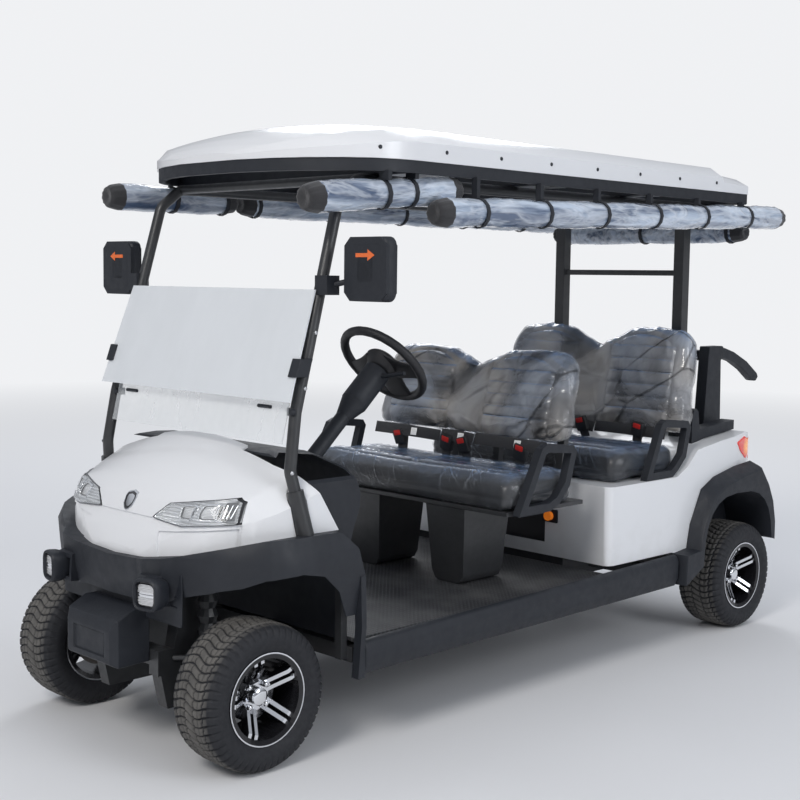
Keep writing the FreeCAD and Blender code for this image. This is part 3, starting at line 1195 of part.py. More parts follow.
def rear_body():
    """White box under the rear seat with its quarter panels: one shell, open below and at the bag well."""
    outer = rear_body_form(0).cut(seat_recess(0))
    hollow = rear_body_form(PANEL_WALL).cut(seat_recess(PANEL_WALL))
    open_bottom = hollow.translated(at(0, 0, -60))
    shell = outer.cut([hollow, open_bottom])
    arch = arch_prism(ARCH_GAP, BODY_HALF_WIDTH - 76, 700)
    side_gap = box(-700, 700, ARCH_CENTRE_Y, FRAME_REAR_Y + 40, 380, 420)
    well = box(-WELL_HALF_WIDTH, WELL_HALF_WIDTH, WELL_FRONT_Y, 3000, WELL_FLOOR_Z, 1000)
    holes = [post_hole(1, 700, 900), post_hole(-1, 700, 900)]
    shell = shell.cut([arch, mirrored(arch), side_gap, well] + holes)
    access = box(-236, 236, REAR_BOX_FRONT_Y - 10, REAR_BOX_FRONT_Y + 10, 440, 560)
    shell = shell.cut(access)
    return max(shell.Solids, key=lambda solid: solid.Volume)


# Gap between the lip of the flare and the opening in the white side, and wall of the wheel housing
ARCH_GAP = 8.0
HOUSING_WALL = 4.0
HOUSING_INNER_X = 404.0


def arch_outline(grow):
    """Points of the rear wheel's opening from its rear foot over the top to its front foot: y, z."""
    points = []
    steps = 12
    first, last = 8.0, 178.0
    for index in range(steps + 1):
        angle = math.radians(first + (last - first) * index / steps)
        sine, cosine = math.sin(angle), math.cos(angle)
        wide = math.copysign(abs(cosine) ** (2 / ARCH_POWER), cosine) * (ARCH_HALF_WIDTH + grow)
        points.append((ARCH_CENTRE_Y + wide, ARCH_CENTRE_Z + sine ** (2 / ARCH_POWER) * (ARCH_RISE + grow)))
    return points


def arch_prism(grow, x0, x1):
    outline = arch_outline(grow)
    return side_prism(outline + [(outline[-1][0], 200), (outline[0][0], 200)], x0, x1)


# Upper edge of the flare with stations counted from the rear axle: y, z, share of the edge's bevel
FLARE_EDGE = ((-479, 258, 0.3), (-473, 384, 0.3), (-371, 393, 0.25), (-350, 492, 0.3), (-273, 632, 1.0),
              (-178, 676, 1.0), (-20, 706, 1.0), (118, 719, 1.0), (187, 640, 1.0), (233, 560, 1.0),
              (261, 460, 1.0), (265, 372, 1.0))
FLARE_BEVEL = 26.0


def flare_edge(inset):
    """The flare's upper edge, drawn in towards the middle of the wheel's opening."""
    points = []
    for y, z, share in FLARE_EDGE:
        out_y, out_z = WHEELBASE + y - ARCH_CENTRE_Y, z - ARCH_CENTRE_Z
        scale = 1 - inset * share / math.hypot(out_y, out_z)
        points.append((ARCH_CENTRE_Y + out_y * scale, ARCH_CENTRE_Z + out_z * scale))
    return points


def rear_flares():
    """Black flares round the rear wheel openings, each in one piece with its wheel housing."""
    inner_x, outer_x = BODY_HALF_WIDTH + 8 + SEAT_GAP, BODY_HALF_WIDTH + FLARE_DEPTH
    arch = arch_outline(0)
    foot = arch[-1][0] - 60
    sections = []
    # Sections: x, inset of the edge
    for x, inset in ((inner_x, 0), (outer_x - 22, FLARE_BEVEL * 0.7), (outer_x - 6, FLARE_BEVEL),
                     (outer_x, FLARE_BEVEL * 1.3)):
        sections.append([at(x, y, z) for y, z in flare_edge(inset) + arch])
    flare = lofted(sections)
    pocket_arch = [(y, z) for y, z in arch_outline(10) if z > 500]
    pocket = side_prism(flare_edge(26)[4:9] + pocket_arch, inner_x - 1, outer_x - 30)
    housing = arch_prism(HOUSING_WALL, HOUSING_INNER_X, inner_x + 2)
    hollow = arch_prism(0, HOUSING_INNER_X + HOUSING_WALL, inner_x + 3)
    below = box(HOUSING_INNER_X - 1, 700, foot, REAR_END_Y, 0, 372)
    housing = housing.cut([hollow, below])
    trim = lofted([sill_section(SILL_FRONT_Y, 244, 353), sill_section(SILL_REAR_Y + SEAT_GAP, 254, 382)])
    return both_sides(fused([flare.cut(pocket), housing]).cut(trim))


# Side of the bag well and wing beside the rear backrest, with stations counted from the rear axle: y, z
WELL_SIDE = ((-62, WELL_FLOOR_Z + 1), (-62, 878), (117, 892), (121, 876), (327, 700), (327, WELL_FLOOR_Z + 1))
WELL_WING = ((-217, 808), (-217, 930), (-205, 952), (-187, 960), (-171, 948), (-163, 900), (-155, 870),
             (121, 892), (121, 850), (113, 850), (-123, 828))


def post_hole(sign, z0, z1):
    half = REAR_POST_SIDE / 2 + SEAT_GAP
    low, high = sorted((sign * (REAR_POST_X - half), sign * (REAR_POST_X + half)))
    return box(low, high, REAR_POST_Y - half, REAR_POST_Y + half, z0, z1)


def bag_well():
    """The black well behind the rear seat: a floor, a front wall and two wings beside the seat."""
    wall = 5.0
    half, rear_y = WELL_HALF_WIDTH - SEAT_GAP, WHEELBASE + 333.0
    front_y, floor_z = WELL_FRONT_Y + SEAT_GAP, WELL_FLOOR_Z + SEAT_GAP
    pieces = [box(-half, half, front_y, rear_y, floor_z, WELL_FLOOR_Z + wall),
              box(-half, half, front_y, WELL_FRONT_Y + wall, WELL_FLOOR_Z + 1, 878)]
    for sign in (1, -1):
        low, high = sorted((sign * (half - wall), sign * half))
        pieces.append(side_prism(from_rear_axle(WELL_SIDE), low, high))
        low, high = sorted((sign * (half - wall), sign * (WELL_HALF_WIDTH + 58)))
        pieces.append(side_prism(from_rear_axle(WELL_WING), low, high))
    well = fused(pieces).cut([post_hole(1, 700, 1100), post_hole(-1, 700, 1100)])
    return well.cut(rear_body_form(0).cut(box(-half, half, WELL_FRONT_Y, rear_y + 60, 600, 1000)))


RACK_X = WELL_HALF_WIDTH - 58.0
RACK_HALF_WIDTH = 27.0
RACK_TOP_Z = 1216.0
RACK_FOOT_Z = WELL_FLOOR_Z + 5 + SEAT_GAP
# Column and arm of the rack, with stations counted from the rear axle: y, z
RACK_COLUMN = ((-5, RACK_FOOT_Z), (159, RACK_FOOT_Z), (141, 1150), (155, 1192), (159, RACK_TOP_Z),
               (45, RACK_TOP_Z), (37, 1150))
RACK_ARM = ((137, 1206), (187, 1206), (265, 1186), (377, 1140), (471, 1082), (483, 1064), (463, 1044),
            (437, 1048), (353, 1100), (257, 1142), (187, 1158), (137, 1160))


def bag_rack():
    """Two moulded columns in the bag well, joined by a bar, with a curved arm reaching back from each."""
    pieces = [box(-RACK_X, RACK_X, WHEELBASE + 63, WHEELBASE + 113, 1150, 1196)]
    for sign in (1, -1):
        for outline, half in ((RACK_COLUMN, RACK_HALF_WIDTH), (RACK_ARM, RACK_HALF_WIDTH - 6)):
            low, high = sorted((sign * (RACK_X - half), sign * (RACK_X + half)))
            pieces.append(side_prism(from_rear_axle(outline), low, high))
    return fused(pieces)


TAIL_LAMP = ((116, 788), (184, 815), (240, 792), (243, 764), (191, 717))
AMBER_LAMP = (262.0, 552.0)
AMBER_LAMP_RADIUS = 19.0


def rear_lamps():
    """Tail lamps let into the quarter panels, and amber lamps on the box's front."""
    skin = rear_body_form(-2.0).cut(rear_body_form(22.0))
    window = side_prism(from_rear_axle(TAIL_LAMP), WELL_HALF_WIDTH + 2, 620)
    tail = skin.common(window)
    tail = max(tail.Solids, key=lambda solid: solid.Volume)
    amber_back = at(AMBER_LAMP[0], REAR_BOX_FRONT_Y - SEAT_GAP, AMBER_LAMP[1])
    amber = Part.makeCylinder(AMBER_LAMP_RADIUS, 20, amber_back, at(0, -1, 0))
    return Part.makeCompound([tail, mirrored(tail), amber, mirrored(amber)])


def battery_pack():
    return box(-300, 300, REAR_BOX_FRONT_Y + 40, REAR_BOX_FRONT_Y + 340, RAIL_TOP_Z + SEAT_GAP, 610)


def save_all():
    os.makedirs("parts", exist_ok=True)
    save("chassis_frame", chassis_frame())
    save("front_suspension", front_suspension())
    save("rear_springs", rear_springs())
    save("rear_axle", rear_axle())
    save("knuckle_left", knuckle())
    save("knuckle_right", mirrored(knuckle()))
    save("tie_rod", tie_rod())
    rim, tyre = alloy_rim(), tyre_ring()
    corners = (("front_left", FRONT_WHEEL_X, 0.0, True), ("front_right", FRONT_WHEEL_X, 0.0, False),
               ("rear_left", REAR_WHEEL_X, WHEELBASE, True), ("rear_right", REAR_WHEEL_X, WHEELBASE, False))
    for corner, x, y, left in corners:
        save("rim_" + corner, placed_wheel(rim, x, y, left))
        save("tyre_" + corner, placed_wheel(tyre, x, y, left))
    save("floor_pan", floor_pan())
    save("sills", sills())
    save("front_moulding", front_moulding())
    save("nose_panel", nose_panel())
    save("front_lamps", front_lamps())
    save("lower_bumper", lower_bumper())
    save("windshield_posts", windshield_posts())
    save("windshield_upper", windshield_upper())
    save("windshield_lower", windshield_lower())
    save("windshield_clips", both_sides(windshield_clips()))
    save("roof_shell", roof_shell())
    save("roof_rails", roof_rails())
    save("rear_roof_posts", rear_roof_posts())
    save("curtain_rolls", curtain_rolls())
    save("mirrors", both_sides(mirror()))
    save("cowl", cowl())
    save("steering_column", steering_column().cut(cowl()))
    save("steering_wheel", steering_wheel())
    save("pedals", pedals())
    save("front_seat_frame", front_seat_frame())
    save("front_seat_cushion", front_seat_cushion())
    save("front_seat_backs", front_seat_backs())
    save("rear_seat_cushion", rear_seat_cushion())
    save("rear_seat_backs", rear_seat_backs())
    save("armrests", armrests())
    save("seat_belts", seat_belts())
    rear_shell = rear_body()
    tail_lamps = rear_lamps()
    save("rear_body", rear_shell.cut(tail_lamps))
    save("rear_lamps", tail_lamps)
    save("rear_flares", rear_flares())
    save("bag_well", bag_well())
    save("bag_rack", bag_rack())
    save("battery_pack", battery_pack())


save_all()
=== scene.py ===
import json
import math
import bmesh
import bpy
from mathutils import Matrix, Vector, noise
from mathutils.bvhtree import BVHTree


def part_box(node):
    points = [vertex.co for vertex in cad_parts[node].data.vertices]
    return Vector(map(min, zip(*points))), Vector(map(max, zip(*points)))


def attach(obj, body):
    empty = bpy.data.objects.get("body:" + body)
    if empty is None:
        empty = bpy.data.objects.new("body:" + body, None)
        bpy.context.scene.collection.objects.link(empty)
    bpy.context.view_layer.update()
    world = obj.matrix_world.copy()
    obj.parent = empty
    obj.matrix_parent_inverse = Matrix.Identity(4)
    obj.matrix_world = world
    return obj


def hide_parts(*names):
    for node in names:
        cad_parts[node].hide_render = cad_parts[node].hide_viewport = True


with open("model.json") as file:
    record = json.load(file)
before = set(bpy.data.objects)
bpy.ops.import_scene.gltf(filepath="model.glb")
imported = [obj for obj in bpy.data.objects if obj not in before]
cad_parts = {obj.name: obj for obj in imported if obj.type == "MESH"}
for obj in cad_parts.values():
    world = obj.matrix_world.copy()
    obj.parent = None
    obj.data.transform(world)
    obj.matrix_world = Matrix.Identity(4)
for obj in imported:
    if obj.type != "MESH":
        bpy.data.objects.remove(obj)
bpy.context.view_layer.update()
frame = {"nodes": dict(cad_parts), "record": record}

# Metres. +X is the cart's left, the front faces -Y, and the ground is Z 0.
nodes = frame["nodes"]
scene = bpy.context.scene

FRONT_AXLE_Y = -1.402
WHEELBASE = 2.603
TYRE_RADIUS = 0.2295
TREAD_DEPTH = 0.0075
CAMERA_PLACE = Vector((3.5696, -3.8827, 1.4998))
CAMERA_TURN = math.radians(44.970)
CAMERA_PITCH = math.radians(5.248)
CAMERA_ROLL = math.radians(0.754)
CAMERA_FOCAL_PIXELS = 1323.72
PHOTO_PIXELS = 800
BACKDROP_COLOUR = (0.87, 0.88, 0.90, 1)
SIDES = (("left", 1), ("right", -1))


def at(x, station, z):
    """A point whose station is counted back from the front axle."""
    return Vector((x, station + FRONT_AXLE_Y, z))


def circle(count):
    """Cosine and sine of each step round a circle."""
    return [(math.cos(math.tau * k / count), math.sin(math.tau * k / count)) for k in range(count)]


# Camera and lamps

def camera_axes():
    """Right, up and forward of the camera that was fitted to the photograph."""
    forward = Vector((-math.sin(CAMERA_TURN) * math.cos(CAMERA_PITCH),
                      math.cos(CAMERA_TURN) * math.cos(CAMERA_PITCH), -math.sin(CAMERA_PITCH)))
    level_right = Vector((math.cos(CAMERA_TURN), math.sin(CAMERA_TURN), 0))
    level_up = level_right.cross(forward)
    right = level_right * math.cos(CAMERA_ROLL) + level_up * math.sin(CAMERA_ROLL)
    return right, level_up * math.cos(CAMERA_ROLL) - level_right * math.sin(CAMERA_ROLL), forward


def add_camera():
    right, up, forward = camera_axes()
    data = bpy.data.cameras.new("photo_camera")
    data.sensor_width = 36.0
    data.lens = CAMERA_FOCAL_PIXELS / PHOTO_PIXELS * data.sensor_width
    camera = bpy.data.objects.new("photo_camera", data)
    turned = Matrix((right, up, -forward)).transposed().to_4x4()
    camera.matrix_world = Matrix.Translation(CAMERA_PLACE) @ turned
    scene.collection.objects.link(camera)
    scene.camera = camera


def add_lamp(name, place, target, size, power, colour):
    data = bpy.data.lights.new(name, "AREA")
    data.shape = "DISK"
    data.size = size
    data.energy = power
    data.color = colour
    lamp = bpy.data.objects.new(name, data)
    lamp.location = place
    lamp.rotation_euler = (Vector(target) - Vector(place)).to_track_quat("-Z", "Y").to_euler()
    scene.collection.objects.link(lamp)


# Materials. Their textures use the object's own coordinates, which are metres of the frame.

class Shading:
    """Short ways to build a node tree."""

    def __init__(self, tree):
        self.tree = tree

    def add(self, kind, source=None, **values):
        """A new node, with values for its settings or inputs and a source for its first input."""
        node = self.tree.nodes.new("ShaderNode" + kind)
        for key, value in values.items():
            if hasattr(node, key) and key not in node.inputs:
                setattr(node, key, value)
            else:
                node.inputs[key.replace("_", " ")].default_value = value
        if source is not None:
            self.join(source, node.inputs[0])
        return node

    def join(self, source, target):
        self.tree.links.new(source, target)

    def set(self, node, place, value):
        """Put a socket, a number or a colour into one of the node's inputs."""
        if isinstance(value, (int, float)):
            node.inputs[place].default_value = value
        elif isinstance(value, tuple):
            node.inputs[place].default_value = (*value, 1)
        else:
            self.join(value, node.inputs[place])

    def math(self, operation, first, second=0.0):
        node = self.add("Math", operation=operation)
        self.set(node, 0, first)
        self.set(node, 1, second)
        return node.outputs[0]

    def ramp(self, source, low, high, low_value=0.0, high_value=1.0):
        node = self.add("MapRange", source)
        for place, value in enumerate((low, high, low_value, high_value), 1):
            node.inputs[place].default_value = value
        return node.outputs[0]

    def mix(self, factor, first, second):
        """A colour between two, each a socket or three numbers."""
        node = self.add("Mix", data_type="RGBA")
        for place, value in ((0, factor), (6, first), (7, second)):
            self.set(node, place, value)
        return node.outputs[2]

    def blend(self, factor, first, second):
        """A shader between two."""
        node = self.add("MixShader", factor)
        self.join(first.outputs[0], node.inputs[1])
        self.join(second.outputs[0], node.inputs[2])
        return node.outputs[0]


def scaled(colour, factor, lift=0.0):
    return tuple(value * factor + lift for value in colour)


class Finish(Shading):
    """A Principled material, with ways to vary it over the object."""

    def __init__(self, name, colour, roughness, **sockets):
        self.material = bpy.data.materials.new(name)
        self.material.use_nodes = True
        super().__init__(self.material.node_tree)
        self.shader = self.tree.nodes["Principled BSDF"]
        self.inputs = self.shader.inputs
        self.inputs["Base Color"].default_value = (*colour, 1)
        self.inputs["Roughness"].default_value = roughness
        for socket, value in sockets.items():
            self.inputs[socket.replace("_", " ")].default_value = value
        self.place = self.add("TexCoord").outputs["Object"]

    def noise(self, scale, detail=4.0, stretch=(1, 1, 1), roughness=0.55, distortion=0.0):
        """Noise with the stretch as a factor on each axis. Gives values of about 0.3 to 0.7."""
        mapping = self.add("Mapping", self.place, Scale=stretch)
        texture = self.add("TexNoise", Scale=scale, Detail=detail, Roughness=roughness, Distortion=distortion)
        self.join(mapping.outputs[0], texture.inputs["Vector"])
        return texture.outputs["Fac"]

    def axis(self, name):
        return self.add("SeparateXYZ", self.place).outputs[name]

    def facing(self, name):
        """How far the surface faces along an axis, from -1 to 1."""
        return self.add("SeparateXYZ", self.add("TexCoord").outputs["Normal"]).outputs[name]

    def reach(self, y=0.0, z=0.0):
        """Distance from a line along X."""
        flat = self.add("CombineXYZ")
        for name in "YZ":
            self.join(self.axis(name), flat.inputs[name])
        node = self.add("VectorMath", flat.outputs[0], operation="DISTANCE")
        node.inputs[1].default_value = (0, y, z)
        return node.outputs["Value"]

    def colour(self, source):
        self.join(source, self.inputs["Base Color"])

    def mottle(self, scale, detail, first, second):
        self.colour(self.mix(self.noise(scale, detail), first, second))

    def rough(self, scale, detail, low, high):
        """Roughness between two values, in patches."""
        self.join(self.ramp(self.noise(scale, detail), 0.3, 0.7, low, high), self.inputs["Roughness"])

    def bump(self, height, distance, strength=1.0):
        node = self.add("Bump", Strength=strength, Distance=distance)
        self.join(height, node.inputs["Height"])
        self.join(node.outputs[0], self.inputs["Normal"])

    def grain(self, scale, detail, distance, strength):
        self.bump(self.noise(scale, detail), distance, strength)


def moulded_plastic(name, colour, grain=900.0):
    """Finely grained plastic with faint dust."""
    finish = Finish(name, colour, 0.55, Specular_IOR_Level=0.45)
    dust = finish.math("MULTIPLY", finish.ramp(finish.noise(7.0, 5.0), 0.42, 0.72), 0.15)
    pale = tuple(min(1.0, value) for value in scaled(colour, 2.0, 0.01))
    finish.colour(finish.mix(dust, colour, pale))
    finish.rough(30.0, 4.0, 0.46, 0.62)
    finish.grain(grain, 3.0, 0.0006, 0.3)
    return finish.material


def gloss_paint(name, dirt):
    """White gloss with a slight orange peel and a little road dust low down."""
    white = (0.80, 0.81, 0.83)
    finish = Finish(name, white, 0.32, Coat_Weight=0.5, Coat_Roughness=0.12)
    low = finish.ramp(finish.axis("Z"), 0.30, 0.62, 1.0, 0.0)
    dusty = finish.math("MULTIPLY", low, finish.ramp(finish.noise(14.0, 6.0), 0.45, 0.75))
    finish.colour(finish.mix(finish.math("MULTIPLY", dusty, dirt), white, (0.46, 0.44, 0.41)))
    finish.rough(70.0, 3.0, 0.29, 0.35)
    finish.grain(160.0, 2.0, 0.0003, 0.06)
    return finish.material


def varied(name, colour, roughness, mottle=None, rough=None, grain=None, **sockets):
    """A material with patches of two colours, patches of roughness and a grain, each where it is given."""
    finish = Finish(name, colour, roughness, **sockets)
    for method, values in ((finish.mottle, mottle), (finish.rough, rough), (finish.grain, grain)):
        if values:
            method(*values)
    return finish.material


def lens(name, colour, roughness, alpha):
    return varied(name, colour, roughness, None, (12.0, 3.0, roughness, roughness + 0.05), Alpha=alpha,
                  IOR=1.5, Coat_Weight=1.0, Coat_Roughness=0.02)


def leather(name, colour):
    return varied(name, colour, 0.5, (40.0, 4.0, colour, scaled(colour, 1.8)), None, (420.0, 4.0, 0.001, 0.35))


def plain_metal(name, colour, roughness):
    return varied(name, colour, roughness, None, (80.0, 4.0, roughness * 0.7, roughness * 1.4),
                  (260.0, 2.0, 0.0002, 0.2), Metallic=1.0)


def tyre_rubber():
    """Dark rubber: road dust greys the tread blocks, and the grooves stay dark."""
    finish = Finish("tyre_rubber", (0.026, 0.028, 0.033), 0.72)
    worn = finish.ramp(finish.reach(), TYRE_RADIUS - TREAD_DEPTH, TYRE_RADIUS - 0.0015)
    dust = finish.ramp(finish.noise(26.0, 6.0), 0.3, 0.7, 0.55, 1.0)
    dusty = finish.math("MULTIPLY", worn, dust)
    finish.colour(finish.mix(dusty, (0.013, 0.014, 0.018), (0.135, 0.128, 0.118)))
    finish.rough(60.0, 4.0, 0.62, 0.82)
    finish.grain(500.0, 3.0, 0.0008, 0.3)
    return finish.material


def chrome_and_black(name, axle_y):
    """Polished spokes and a thin bright lip; the pockets and the ring behind the lip are black enamel."""
    finish = Finish(name, (0.8, 0.8, 0.82), 0.12)
    polished = finish.ramp(finish.math("ABSOLUTE", finish.facing("X")), 0.45, 0.6)
    reach = finish.reach(axle_y, TYRE_RADIUS)
    ring = finish.math("MULTIPLY", finish.ramp(reach, 0.1235, 0.1245), finish.ramp(reach, 0.1402, 0.1392))
    bright = finish.math("MULTIPLY", polished, finish.math("SUBTRACT", 1.0, ring))
    finish.colour(finish.mix(bright, (0.010, 0.010, 0.012), (0.80, 0.81, 0.84)))
    finish.join(bright, finish.inputs["Metallic"])
    finish.rough(40.0, 3.0, 0.1, 0.2)
    return finish.material


def clear_pane(name, colour, alpha, roughness, haze):
    """Thin acrylic, with smears in its haze."""
    finish = Finish(name, colour, roughness, Alpha=alpha, IOR=1.45, Specular_IOR_Level=0.6)
    smear = finish.ramp(finish.noise(3.0, 6.0, (1.0, 1.0, 0.4)), 0.35, 0.7, alpha - haze, alpha + haze)
    finish.join(smear, finish.inputs["Alpha"])
    finish.grain(6.0, 3.0, 0.004, 0.12)
    return finish.material


FOLD_LEAN = math.radians(38.0)
FOLD_BEND = 0.09


def folds_between(finish, scale, stretch, width):
    """Straight folds that meet at corners, as crumpled film has: the borders of stretched, bent cells."""
    leaning = finish.add("Mapping", finish.place, Rotation=(0.0, FOLD_LEAN, 0.0))
    mapping = finish.add("Mapping", leaning.outputs[0], Scale=stretch)
    bend = finish.add("TexNoise", Scale=3.0, Detail=2.0)
    finish.join(mapping.outputs[0], bend.inputs["Vector"])
    bent = finish.add("VectorMath", mapping.outputs[0], operation="ADD")
    shift = finish.add("VectorMath", bend.outputs["Color"], operation="SCALE")
    shift.inputs["Scale"].default_value = FOLD_BEND
    finish.join(shift.outputs[0], bent.inputs[1])
    cells = finish.add("TexVoronoi", feature="DISTANCE_TO_EDGE", Scale=scale, Randomness=1.0)
    finish.join(bent.outputs[0], cells.inputs["Vector"])
    return finish.ramp(cells.outputs["Distance"], 0.0, width, 1.0, 0.0)


def clear_wrap(name, reflection_veil, creased, warm_reflection, cool_reflection, stretch, fine, top):
    """Clear wrapper whose alpha and colour paint its reflections: pale patches, partly the film's own haze and
    mostly painted reflection, creases painted brighter, or darker where creased is below 0, and a bluish
    painted sky reflection on faces that look up.
    """
    finish = Finish(name, cool_reflection, 0.2, Coat_Weight=1.0, Coat_Roughness=0.05, IOR=1.5)
    patches = finish.noise(3.4, 4.0, (1.0, 1.0, 1.0), 0.5, 0.9)
    upward_sky_reflection = finish.ramp(finish.facing("Z"), 0.55, 0.98)
    # Painted reflection: broad pale patches of film colour, partly the film's own haze.
    reflection_patches = finish.ramp(patches, 0.36, 0.58, reflection_veil * 0.3, reflection_veil * 1.5)
    small = finish.math("MULTIPLY", folds_between(finish, 15.0, stretch, 0.05), fine)
    sharp = finish.math("ADD", folds_between(finish, 5.5, stretch, 0.035), small)
    folds = finish.math("MULTIPLY", finish.ramp(finish.noise(2.7, 2.0), 0.42, 0.55), sharp)
    # Painted highlights along the creases, or painted dark lines where creased is below 0.
    painted_reflection_alpha = finish.math("ADD", reflection_patches, finish.math("MULTIPLY", folds, creased))
    # Painted sky reflection: faces that look up show more of the film colour.
    painted_reflection_alpha = finish.math("ADD", painted_reflection_alpha, finish.math("MULTIPLY", upward_sky_reflection, top))
    finish.join(finish.ramp(painted_reflection_alpha, 0.0, 1.0, 0.02, 0.94), finish.inputs["Alpha"])
    # Painted reflection tints, warm and cool, and a bluish painted sky reflection on the top faces.
    reflection_tint = finish.mix(finish.ramp(finish.noise(2.1, 2.0), 0.4, 0.6), warm_reflection, cool_reflection)
    finish.colour(finish.mix(upward_sky_reflection, reflection_tint, (0.26, 0.40, 0.66)))
    finish.bump(folds, 0.010, 0.8)
    return finish.material


def rolled_film():
    """Many turns of clear plastic: silvery and bluish, with long streaks and sharp creases along the roll."""
    finish = Finish("curtain_film", (0.55, 0.6, 0.68), 0.14, Coat_Weight=1.0, Coat_Roughness=0.04, IOR=1.45)
    streaks = finish.noise(9.0, 4.0, (2.0, 0.22, 2.6), 0.55, 0.6)
    folded = finish.math("SUBTRACT", finish.noise(7.0, 3.0, (1.6, 0.5, 1.8), 0.6, 1.2), 0.5)
    creases = finish.ramp(finish.math("ABSOLUTE", folded), 0.0, 0.12, 1.0, 0.0)
    tone = finish.mix(finish.ramp(streaks, 0.40, 0.60), (0.085, 0.125, 0.21), (0.52, 0.61, 0.74))
    finish.colour(finish.mix(finish.math("MULTIPLY", creases, 0.45), tone, (0.82, 0.87, 0.94)))
    finish.rough(14.0, 3.0, 0.10, 0.22)
    finish.bump(finish.math("ADD", streaks, finish.math("MULTIPLY", creases, 0.4)), 0.012, 0.6)
    return finish.material


def ribbed_floor():
    """Black rubber with small raised diamonds and scuffs of dust."""
    finish = Finish("floor_black", (0.03, 0.031, 0.034), 0.55)
    diagonal = finish.add("Mapping", finish.place, Rotation=(0, 0, math.radians(45)))
    cells = finish.add("TexBrick", Scale=34.0, Mortar_Size=0.16, Mortar_Smooth=0.4, Brick_Width=0.9,
                       Row_Height=0.45)
    finish.join(diagonal.outputs[0], cells.inputs["Vector"])
    raised = finish.math("SUBTRACT", 1.0, cells.outputs["Fac"])
    dust = finish.math("MULTIPLY", finish.ramp(finish.noise(8.0, 6.0), 0.4, 0.7), 0.6)
    lit = finish.mix(dust, (0.022, 0.023, 0.026), (0.10, 0.10, 0.10))
    finish.colour(finish.mix(finish.math("MULTIPLY", raised, 0.5), lit, (0.075, 0.078, 0.085)))
    finish.bump(raised, 0.003, 0.8)
    return finish.material


def webbing(name, colour):
    """Woven strap with fine ribs across it."""
    finish = Finish(name, colour, 0.75, Sheen_Weight=0.3)
    weave = finish.add("TexWave", Scale=330.0, Distortion=0.6, bands_direction="Z")
    finish.join(finish.place, weave.inputs["Vector"])
    finish.colour(finish.mix(weave.outputs["Fac"], colour, scaled(colour, 2.2)))
    finish.bump(weave.outputs["Fac"], 0.0006, 0.5)
    return finish.material


def bright_plastic(name, colour, ribs, metallic):
    """A reflector or ribbed lens: silvery, with fine ribs."""
    finish = Finish(name, colour, 0.14, Metallic=metallic, Coat_Weight=0.6, Coat_Roughness=0.03)
    wave = finish.math("SINE", finish.math("MULTIPLY", finish.axis("Z"), ribs))
    finish.colour(finish.mix(finish.ramp(wave, -1.0, 1.0), colour, scaled(colour, 0.6)))
    finish.rough(50.0, 3.0, 0.10, 0.2)
    finish.bump(wave, 0.002, 0.6)
    return finish.material


def tail_glass(name, station, z):
    """Orange round the given place, red further out, and amber for the lamps on the box's front."""
    finish = Finish(name, (0.7, 0.03, 0.015), 0.12, Coat_Weight=1.0, Coat_Roughness=0.03)
    outer = finish.ramp(finish.reach(station + FRONT_AXLE_Y, z), 0.016, 0.046)
    glass = finish.mix(outer, (0.95, 0.33, 0.05), (0.62, 0.02, 0.012))
    tone = finish.mix(finish.ramp(finish.axis("Y"), 0.9, 0.8), glass, (0.80, 0.20, 0.02))
    finish.colour(tone)
    finish.join(tone, finish.inputs["Emission Color"])
    finish.inputs["Emission Strength"].default_value = 0.35
    ribs = finish.math("SINE", finish.math("MULTIPLY", finish.axis("Z"), 900.0))
    finish.bump(ribs, 0.001, 0.4)
    return finish.material


COAT_BLACK = (0.017, 0.018, 0.020)
GLOSS_BLACK = (0.008, 0.008, 0.010)
CAST_GREY = (0.035, 0.035, 0.038)
finishes = {
    "frame_black": varied("frame_black", COAT_BLACK, 0.42,
                          (22.0, 5.0, COAT_BLACK, scaled(COAT_BLACK, 1.7, 0.01)), (45.0, 4.0, 0.34, 0.52),
                          (700.0, 2.0, 0.0004, 0.22), Coat_Weight=0.25, Coat_Roughness=0.25),
    "body_white": gloss_paint("body_white", 0.22),
    "moulded_black": moulded_plastic("moulded_black", (0.014, 0.0165, 0.0225)),
    "tyre": tyre_rubber(),
    "rim_chrome": chrome_and_black("rim_chrome", FRONT_AXLE_Y),
    "lamp_clear": lens("lamp_clear", (0.9, 0.93, 0.95), 0.04, 0.35),
    "lamp_red": tail_glass("lamp_red", 2.765, 0.776),
    "pane": clear_pane("pane", (0.85, 0.88, 0.90), 0.30, 0.06, 0.10),
    "pane_film": clear_pane("pane_film", (0.80, 0.83, 0.86), 0.86, 0.32, 0.05),
    "curtain_film": rolled_film(),
    "roof_white": gloss_paint("roof_white", 0.0),
    "seat_black": varied("seat_black", (0.016, 0.017, 0.020), 0.42,
                         (60.0, 4.0, (0.011, 0.012, 0.014), (0.024, 0.025, 0.029)), (24.0, 4.0, 0.36, 0.5),
                         (520.0, 3.0, 0.0006, 0.3), Coat_Weight=0.3, Coat_Roughness=0.2),
    "floor_black": ribbed_floor(),
    "axle_metal": varied("axle_metal", CAST_GREY, 0.62, (18.0, 6.0, CAST_GREY, (0.14, 0.13, 0.12)), None,
                         (220.0, 4.0, 0.001, 0.4), Metallic=0.3),
    "buckle": moulded_plastic("buckle", (0.02, 0.02, 0.022)),
    "battery": moulded_plastic("battery", (0.05, 0.05, 0.055)),
}
moulded_black = finishes["moulded_black"]
chrome = plain_metal("chrome", (0.82, 0.83, 0.85), 0.10)
lamp_black = varied("lamp_black", GLOSS_BLACK, 0.16, (20.0, 3.0, GLOSS_BLACK, scaled(GLOSS_BLACK, 1.8)),
                    (30.0, 3.0, 0.12, 0.24), Coat_Weight=0.8, Coat_Roughness=0.04)
for subpart in frame["record"]["subparts"]:
    for place in nodes[subpart["node"]].material_slots:
        place.link = "OBJECT"
        place.material = finishes[subpart["material_slot"]]
